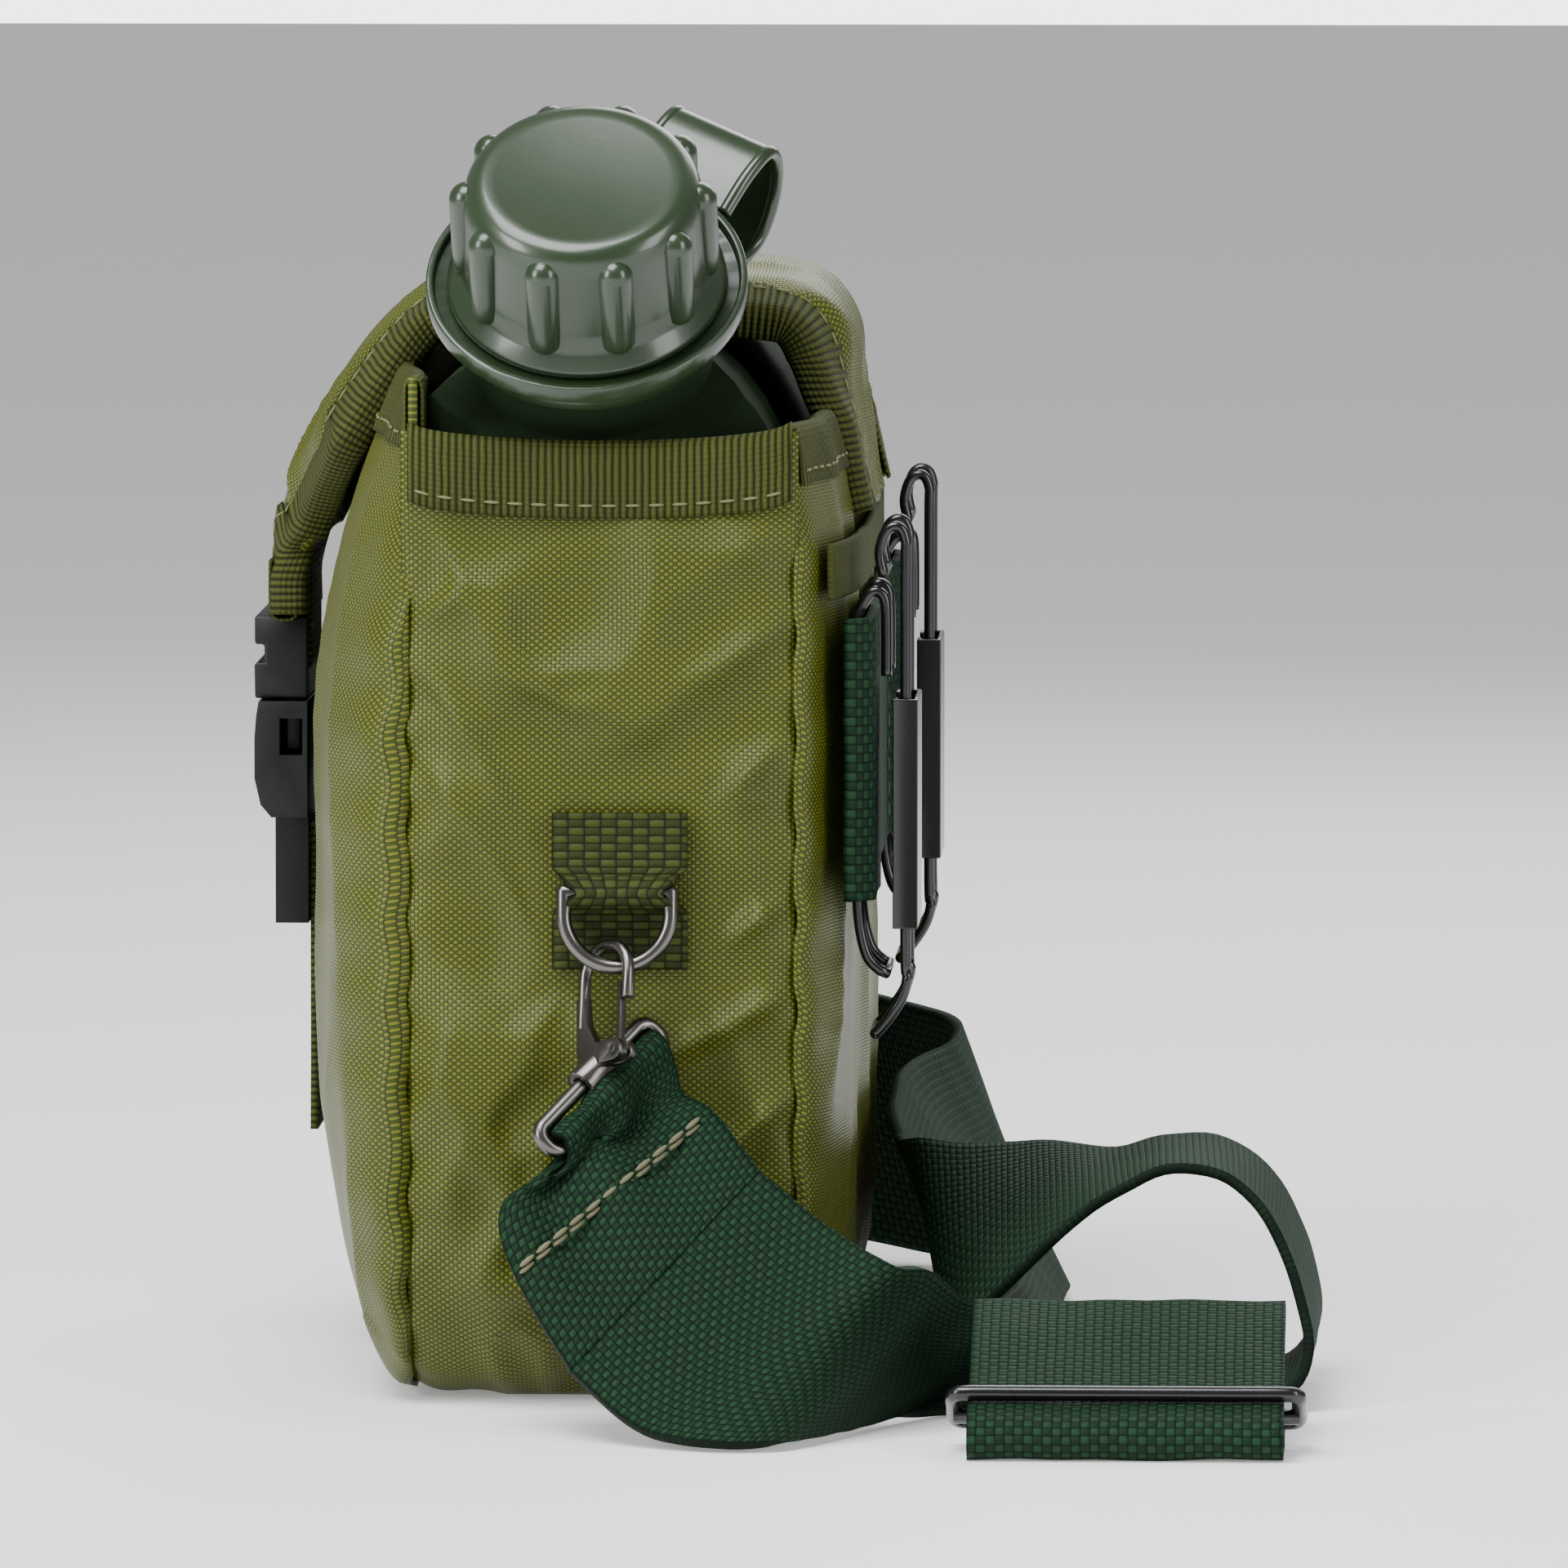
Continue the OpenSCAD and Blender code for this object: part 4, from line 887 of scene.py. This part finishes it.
near_tail = pairs((122.4, -13, 24.6, 99.4, 17, 48), (116, -14.6, 33.6, 96.6, 12.6, 50.2))
near_rows = near_tail + round_bar(1) + pairs(
    (112.6, -6.4, 41.4, 97, 10.6, 56.2), (118, -16, 35.2, 98.4, 12.2, 51.4),
    (124.3, -13.5, 25.3, 101.3, 17, 49.2),
    (134, -4, 11, 107, 25, 40))
main_rows = pairs(
    (134, -4, 11, 107, 25, 40), (142, 7, 3, 113, 36, 32), (148, 19, 1.3, 121, 46, 27),
    (146, 29, 1.3, 110, 52, 25),
    (132, 37, 1.3, 92, 58, 18), (112, 46, 1.3, 72, 70, 13), (100, 58, 1.3, 50, 64, 5),
    (98, 75, 1.2, 48, 77, 1.2),
    (97, 95, 1.3, 47, 96, 1.3), (95, 108, 3, 45, 109, 3), (91, 113, 9, 41, 114, 10),
    (87, 111, 20, 38, 112, 22),
    (83, 106, 31, 36, 106, 33), (80, 99, 37, 34, 98, 38), (80, 90, 38, 33, 89, 38),
    (80, 82, 34.5, 33, 80, 36),
    (80, 73, 28, 33, 71, 37), (80, 65, 20, 34, 63, 37), (79, 58, 13, 36, 55, 37), (70, 55, 6, 34, 48, 38),
    (56, 60, 3, 22, 45, 37), (36, 65, 2, 12, 43, 40), (12, 69, 2, -6, 43, 42), (-15, 70, 2, -22, 43, 43),
    (-45, 70, 2, -48, 45, 43), (-72, 70, 2, -72, 51, 44), (-96, 62, 2, -90, 50, 46),
    (-116, 48, 2, -104, 38, 48),
    (-124, 29, 5, -107, 26, 51))
far_bar = round_bar(-1)
far_rows = pairs(
    (-124, 29, 5, -107, 26, 51), (-125, 11, 14, -106, 19, 54), (-120, -4, 27, -101, 14, 54),
    (-112.6, -6.4, 41.4, -97, 10.6, 56.2)) + far_bar[::-1] + [
    (Vector((-a.x, a.y, a.z)), Vector((-b.x, b.y, b.z))) for a, b in near_tail[::-1]]


# %% Strap shape
def strap_form(rows, pieces_per_mm=0.55, fold=lambda s: 0.0, span=3):
    one = smooth([r[0] for r in rows], 10)
    two = smooth([r[1] for r in rows], 10)
    mid = [(a + b) / 2 for a, b in zip(one, two)]
    run = measured(mid)

    def place(u, v):
        s = v * run[-1]
        a, b = at_length(one, run, s), at_length(two, run, s)
        ahead = at_length(mid, run, min(run[-1], s + 1.5 * MM)) - at_length(mid, run, max(0, s - 1.5 * MM))
        n = ahead.cross(b - a).normalized()
        ripple = fold(s) * sin(2 * pi * (u * 2.2 + 0.15)) * (1 - abs(2 * u - 1) ** 4)
        edge = 0.25 * MM * noise.noise(Vector((s / (7 * MM), u * 3, 1)))
        return a.lerp(b, u) + n * (ripple + edge)

    return cloth_form(30, max(20, int(run[-1] / MM * pieces_per_mm)), place, (50 * MM, run[-1])), run[-1]


def near_fold(s):
    return 1.5 * MM * exp(-((s - 40 * MM) / (16 * MM)) ** 2)


form, main_len = strap_form(main_rows)
main_strap = thicken(add_piece("strap_web", form, webbing, "cover", ("shoulder_strap",)),
                     1.7 * MM, 0)
print("strap", round(main_len, 3), "m")

# %% Strap ends
form, near_len = strap_form(near_rows, 1.2, near_fold)
near_end = thicken(add_piece("strap_near_web", form, webbing, None, ("strap_near_end",)),
                   1.7 * MM, 0)
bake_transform(near_end)
form, far_len = strap_form(far_rows, 1.2)
far_end = thicken(add_piece("strap_far_web", form, webbing, None, ("strap_far_end",)),
                  1.7 * MM, 0)
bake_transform(far_end)
print("ends", round(near_len, 3), round(far_len, 3), "m")

# %% Stitches across the doubled end
for side, name in ((1, "near"), (-1, "far")):
    for k, back_off in enumerate((0, 1.1 * MM)):
        rows = near_rows[-3:] if side > 0 else far_rows[:3][::-1]
        (a0, b0), (a, b), (a1, b1) = rows
        n = (a1 + b1 - a0 - b0).cross(b - a).normalized()
        n = n if n.x * side > 0 else -n
        a, b = a.lerp(b, 0.01), a.lerp(b, 0.99)
        line = [a.lerp(b, t / 40) + n * (0.25 * MM * noise.noise(Vector((t * 0.7, k, side))))
                + Vector((0, 0, -back_off)) for t in range(41)]
        sew = stitch_row("strap_sewing_%s_%d" % (name, k), line, [n] * 41, tan_thread, None,
                         length=3.4 * MM, gap=0.4 * MM, radius=0.45 * MM, lift=1.9 * MM)
        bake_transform(sew)

# %% Folded tail round the slide adjuster
tail_side = [(112, 19.8), (121, 17.2), (130, 13.8), (138, 10.6), (145, 8.4), (151, 7.2), (155.5, 6),
             (157.4, 3.6),
             (156, 1.2), (151.5, 0.9), (140, 0.9), (120, 0.9), (101, 0.9)]
tail_line = smooth([Vector((x, 0, z)) * MM for x, z in tail_side], 8)
tail_run = measured(tail_line)
form = cloth_form(30, 90, lambda u, v: at_length(tail_line, tail_run, v * tail_run[-1])
                  + Vector((0, (59.5 + 50 * u) * MM, 0.35 * MM * noise.noise(Vector((u * 5, v * 9, 0))))),
                  (50 * MM, tail_run[-1]))
tail = thicken(add_piece("tail_web", form, webbing, "cover", ("strap_tail",)), 1.6 * MM, 0)

# %% [markdown]
# ## Bent wire
# The adjuster and the belt clips are lacquered spring wire. A bevelled curve gives a round wire
# with smooth elbows, and it is turned into a mesh at once.

# %% Adjuster
y0, y1 = 57.1 * MM, 111.9 * MM
mid_y = (y0 + y1) / 2
quarter = [(149, 84.5, 9.9), (149, 100, 9.9), (149, 109.6, 9.9), (148.5, 111.3, 9.65), (147.2, 111.9, 9.0),
           (143, 111.9, 6.95), (138.8, 111.9, 4.9), (137.5, 111.3, 4.25), (137, 109.6, 4.0), (137, 100, 4.0),
           (137, 84.6, 4.0)]
half_line = smooth([Vector(q) * MM for q in quarter], 5)
back_half = [Vector((p.x, 2 * mid_y - p.y, p.z)) for p in half_line[::-1]]
wire_piece("adjuster_frame", half_line + back_half[1:-1], 1.25 * MM, lacquer, "slide_adjuster",
           ("slide_adjuster",), loop=True)
wire_piece("adjuster_bar", [Vector((143, 57.1, 5.55)) * MM, Vector((143, 84.5, 5.55)) * MM,
                            Vector((143, 111.9, 5.55)) * MM], 1.25 * MM, lacquer,
                            "slide_adjuster")

# %% Belt clips
inner_side = [(44.3, 118), (44.3, 125.5), (44.15, 129.8), (43.5, 131.3), (42.4, 131.7), (41.35, 131.1),
              (40.3, 129.4),
              (39.75, 127.9), (39.6, 124), (39.6, 104),
              (39.6, 86), (39.9, 78), (41.2, 72.4), (43.4, 70)]
outer_side = [(43.8, 134.6), (43.2, 138), (44.2, 141.4), (46.2, 142.2), (47.4, 140), (47.4, 135), (47.4, 104),
              (47.4, 73), (47.7, 69), (46.8, 65.6), (44.6, 62.2), (42.4, 59.6)]


def clip_line(xc, side_line, loop):
    half = smooth([Vector((xc / MM + 9, y, z)) * MM for y, z in side_line], 6)
    if not loop:
        half.append(Vector((xc + 9 * MM, 44.4 * MM, 69.6 * MM)))
    return half + [Vector((2 * xc - p.x, p.y, p.z)) for p in half[::-1]]


for xc, name in zip(clip_x, ("near", "far")):
    wire_piece("clip_inner_" + name, clip_line(xc, inner_side, False), 0.9 * MM, lacquer,
               "cover",
               ("clip_frame_" + name,))
    wire_piece("clip_outer_" + name, clip_line(xc, outer_side, True), 0.9 * MM, lacquer,
               "clip_front_" + name, ("clip_front_" + name,), loop=True)
    softened("clip_keeper_" + name, "keeper_" + name, lacquer, "clip_keeper_" + name, 0.25 * MM)

# %% [markdown]
# ## Hard pieces that keep their shape
# The bottle, rings, hooks and buckle are right as designed. A copy of each gets narrow
# rounded edges, because no moulded or cast piece has a perfectly sharp one, and a sharp edge
# never catches the light. The cap is drawn again as a turned wall with round grip columns,
# because its real grips are round and the designed ones are flat sided.

# %% Bottle, cap and retainer
softened("bottle", "bottle_shell", bottle_plastic, "cover", 0.5 * MM, 2)
on_neck = Matrix.Translation(Vector((80, -4, 180.3)) * MM) @ Matrix.Rotation(radians(41), 4, "Y")
cap_side = [(0, 17.7), (17.95, 17.7), (17.95, -1.5), (20.4, -1.5), (20.4, -0.5), (19.5, -0.15), (19.5, 2.2),
            (22.2, 2.2), (22.6, 2.6), (22.6, 3.2), (22.3, 3.7), (20.6, 5.4), (19.9, 6.4), (19.6, 9),
            (19.3, 21),
            (18.9, 22.8), (18.1, 24.2), (17, 25.1), (15.6, 25.5), (14, 25.4), (10, 25.0), (0, 24.8)]
form = bmesh.new()
ring = [form.verts.new((r * MM, 0, s * MM)) for r, s in cap_side]
for a, b in zip(ring, ring[1:]):
    form.edges.new((a, b))
bmesh.ops.spin(form, geom=form.verts[:] + form.edges[:], cent=(0, 0, 0), axis=(0, 0, 1), dvec=(0, 0, 0),
               angle=2 * pi, steps=120, use_merge=True)
bmesh.ops.remove_doubles(form, verts=form.verts, dist=1e-6)
bmesh.ops.recalc_face_normals(form, faces=form.faces)
bmesh.ops.transform(form, matrix=on_neck, verts=form.verts)
add_piece("cap_shell", form, cap_plastic, "cap", ("cap",))
for k in range(10):
    form = bmesh.new()
    bmesh.ops.create_uvsphere(form, u_segments=24, v_segments=24, radius=2.9 * MM)
    for vert in form.verts:
        high = vert.co.z > 0
        vert.co.z += (20.6 if high else 7.0) * MM
        if not high:
            vert.co.z = max(3.9 * MM, vert.co.z)
    place_rib = on_neck @ Matrix.Rotation(2 * pi * (k + 0.5) / 10, 4,
                                          "Z") @ Matrix.Translation((18.7 * MM, 0, 0))
    bmesh.ops.transform(form, matrix=place_rib, verts=form.verts)
    add_piece("cap_column_%d" % k, form, cap_plastic, "cap")
softened("retainer_cap_ring", "cap_ring", cap_plastic, "cap_retainer", 0.3 * MM)
softened("retainer_neck_ring", "neck_ring", cap_plastic, "cover", 0.4 * MM)
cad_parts["cap_liner"].data.materials.clear()
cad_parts["cap_liner"].data.materials.append(liner_rubber)

# %% Retainer loop
neck_at = Vector((80, -4, 180.3)) * MM
to_row = Matrix.Translation(neck_at) @ Matrix.Rotation(radians(41), 4, "Y") @ Matrix.Rotation(radians(148),
                                                                                              4, "Z")
loop_side = [(26.2, 0.9), (33, 3.6), (39.5, 3.8), (41.5, -1.4), (40, -8), (35.4, -12.9), (29, -12.2),
             (22.4, -5.0)]
loop_line = smooth([Vector((r, 0, s)) * MM for r, s in loop_side], 8)
loop_run = measured(loop_line)
form = cloth_form(20, 90, lambda u, v: to_row @ (at_length(loop_line, loop_run, v * loop_run[-1])
                                                  + Vector((0, (18 * u - 9) * MM, 0))),
                                                  (18 * MM, loop_run[-1]))
loop = thicken(add_piece("retainer_strip", form, cap_plastic, None, ("retainer_loop",)),
               1.7 * MM, 0)
for side in (0, 1):
    rib_line = [to_row @ (p + Vector((0, (18 * side - 9) * MM, 0))) for p in loop_line]
    rib = wire_piece("retainer_rib_%d" % side, rib_line, 1.15 * MM, cap_plastic, None)
    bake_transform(rib)
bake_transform(loop)

# %% Buckle
softened("buckle_male", "buckle_top", buckle_plastic, "flap", 0.8 * MM, 3)
softened("buckle_female", "buckle_base", buckle_plastic, "cover", 0.9 * MM, 3)
for name in ("near", "far"):
    softened("buckle_arm_" + name, "buckle_prong_" + name, buckle_plastic,
             "buckle_arm_" + name,
             0.4 * MM, 2)

# %% Tabs, D-rings and snap hooks
for name in ("near", "far"):
    softened("d_ring_" + name, "ring_d_" + name, nickel, "d_ring_" + name, 0.05 * MM, 1, 60)
    softened("hook_" + name, "snap_hook_" + name, nickel, "hook_" + name, 0.2 * MM, 2, 35)
    softened("hook_gate_" + name, "snap_gate_" + name, nickel, "hook_gate_" + name, 0.15 * MM,
             2, 35)
    softened("strap_ring_" + name, "ring_strap_" + name, nickel, "hook_" + name, 0.05 * MM, 1,
             60)

# %% Webbing tabs
def tab_place(side):
    bar = Vector((97.6, 84.5))
    route = [(93.7, 71.8), (94.1, 78), (94.6, 81.4), (96.2, 82.3)]
    for angle in range(-75, 106, 20):
        route.append((bar.x + 2.05 * cos(radians(angle)), bar.y + 2.05 * sin(radians(angle))))
    route += [(96.2, 88), (95.2, 92), (94.6, 95.6), (94.3, 97)]
    line = smooth([Vector((side * x, 0, z)) * MM for x, z in route], 4)
    run = measured(line)

    def place(u, v):
        s = v * run[-1]
        p = at_length(line, run, s)
        wide = 10.9 if p.z < 81 * MM or p.z > 88 * MM else 6.6 + 4.3 * abs(p.z / MM - 84.5) / 3.6
        wide = min(wide, 10.9)
        return Vector((p.x, (1.9 + (2 * u - 1) * wide) * MM, p.z))
    return place, run[-1]


for side, name in ((1, "near"), (-1, "far")):
    place_tab, tab_len = tab_place(side)
    form = cloth_form(16, 60, place_tab, (21.8 * MM, tab_len))
    piece = thicken(add_piece("tab_web_" + name, form, tab_web, "cover",
                              ("side_tab_" + name,)),
                    1.1 * MM, 0)
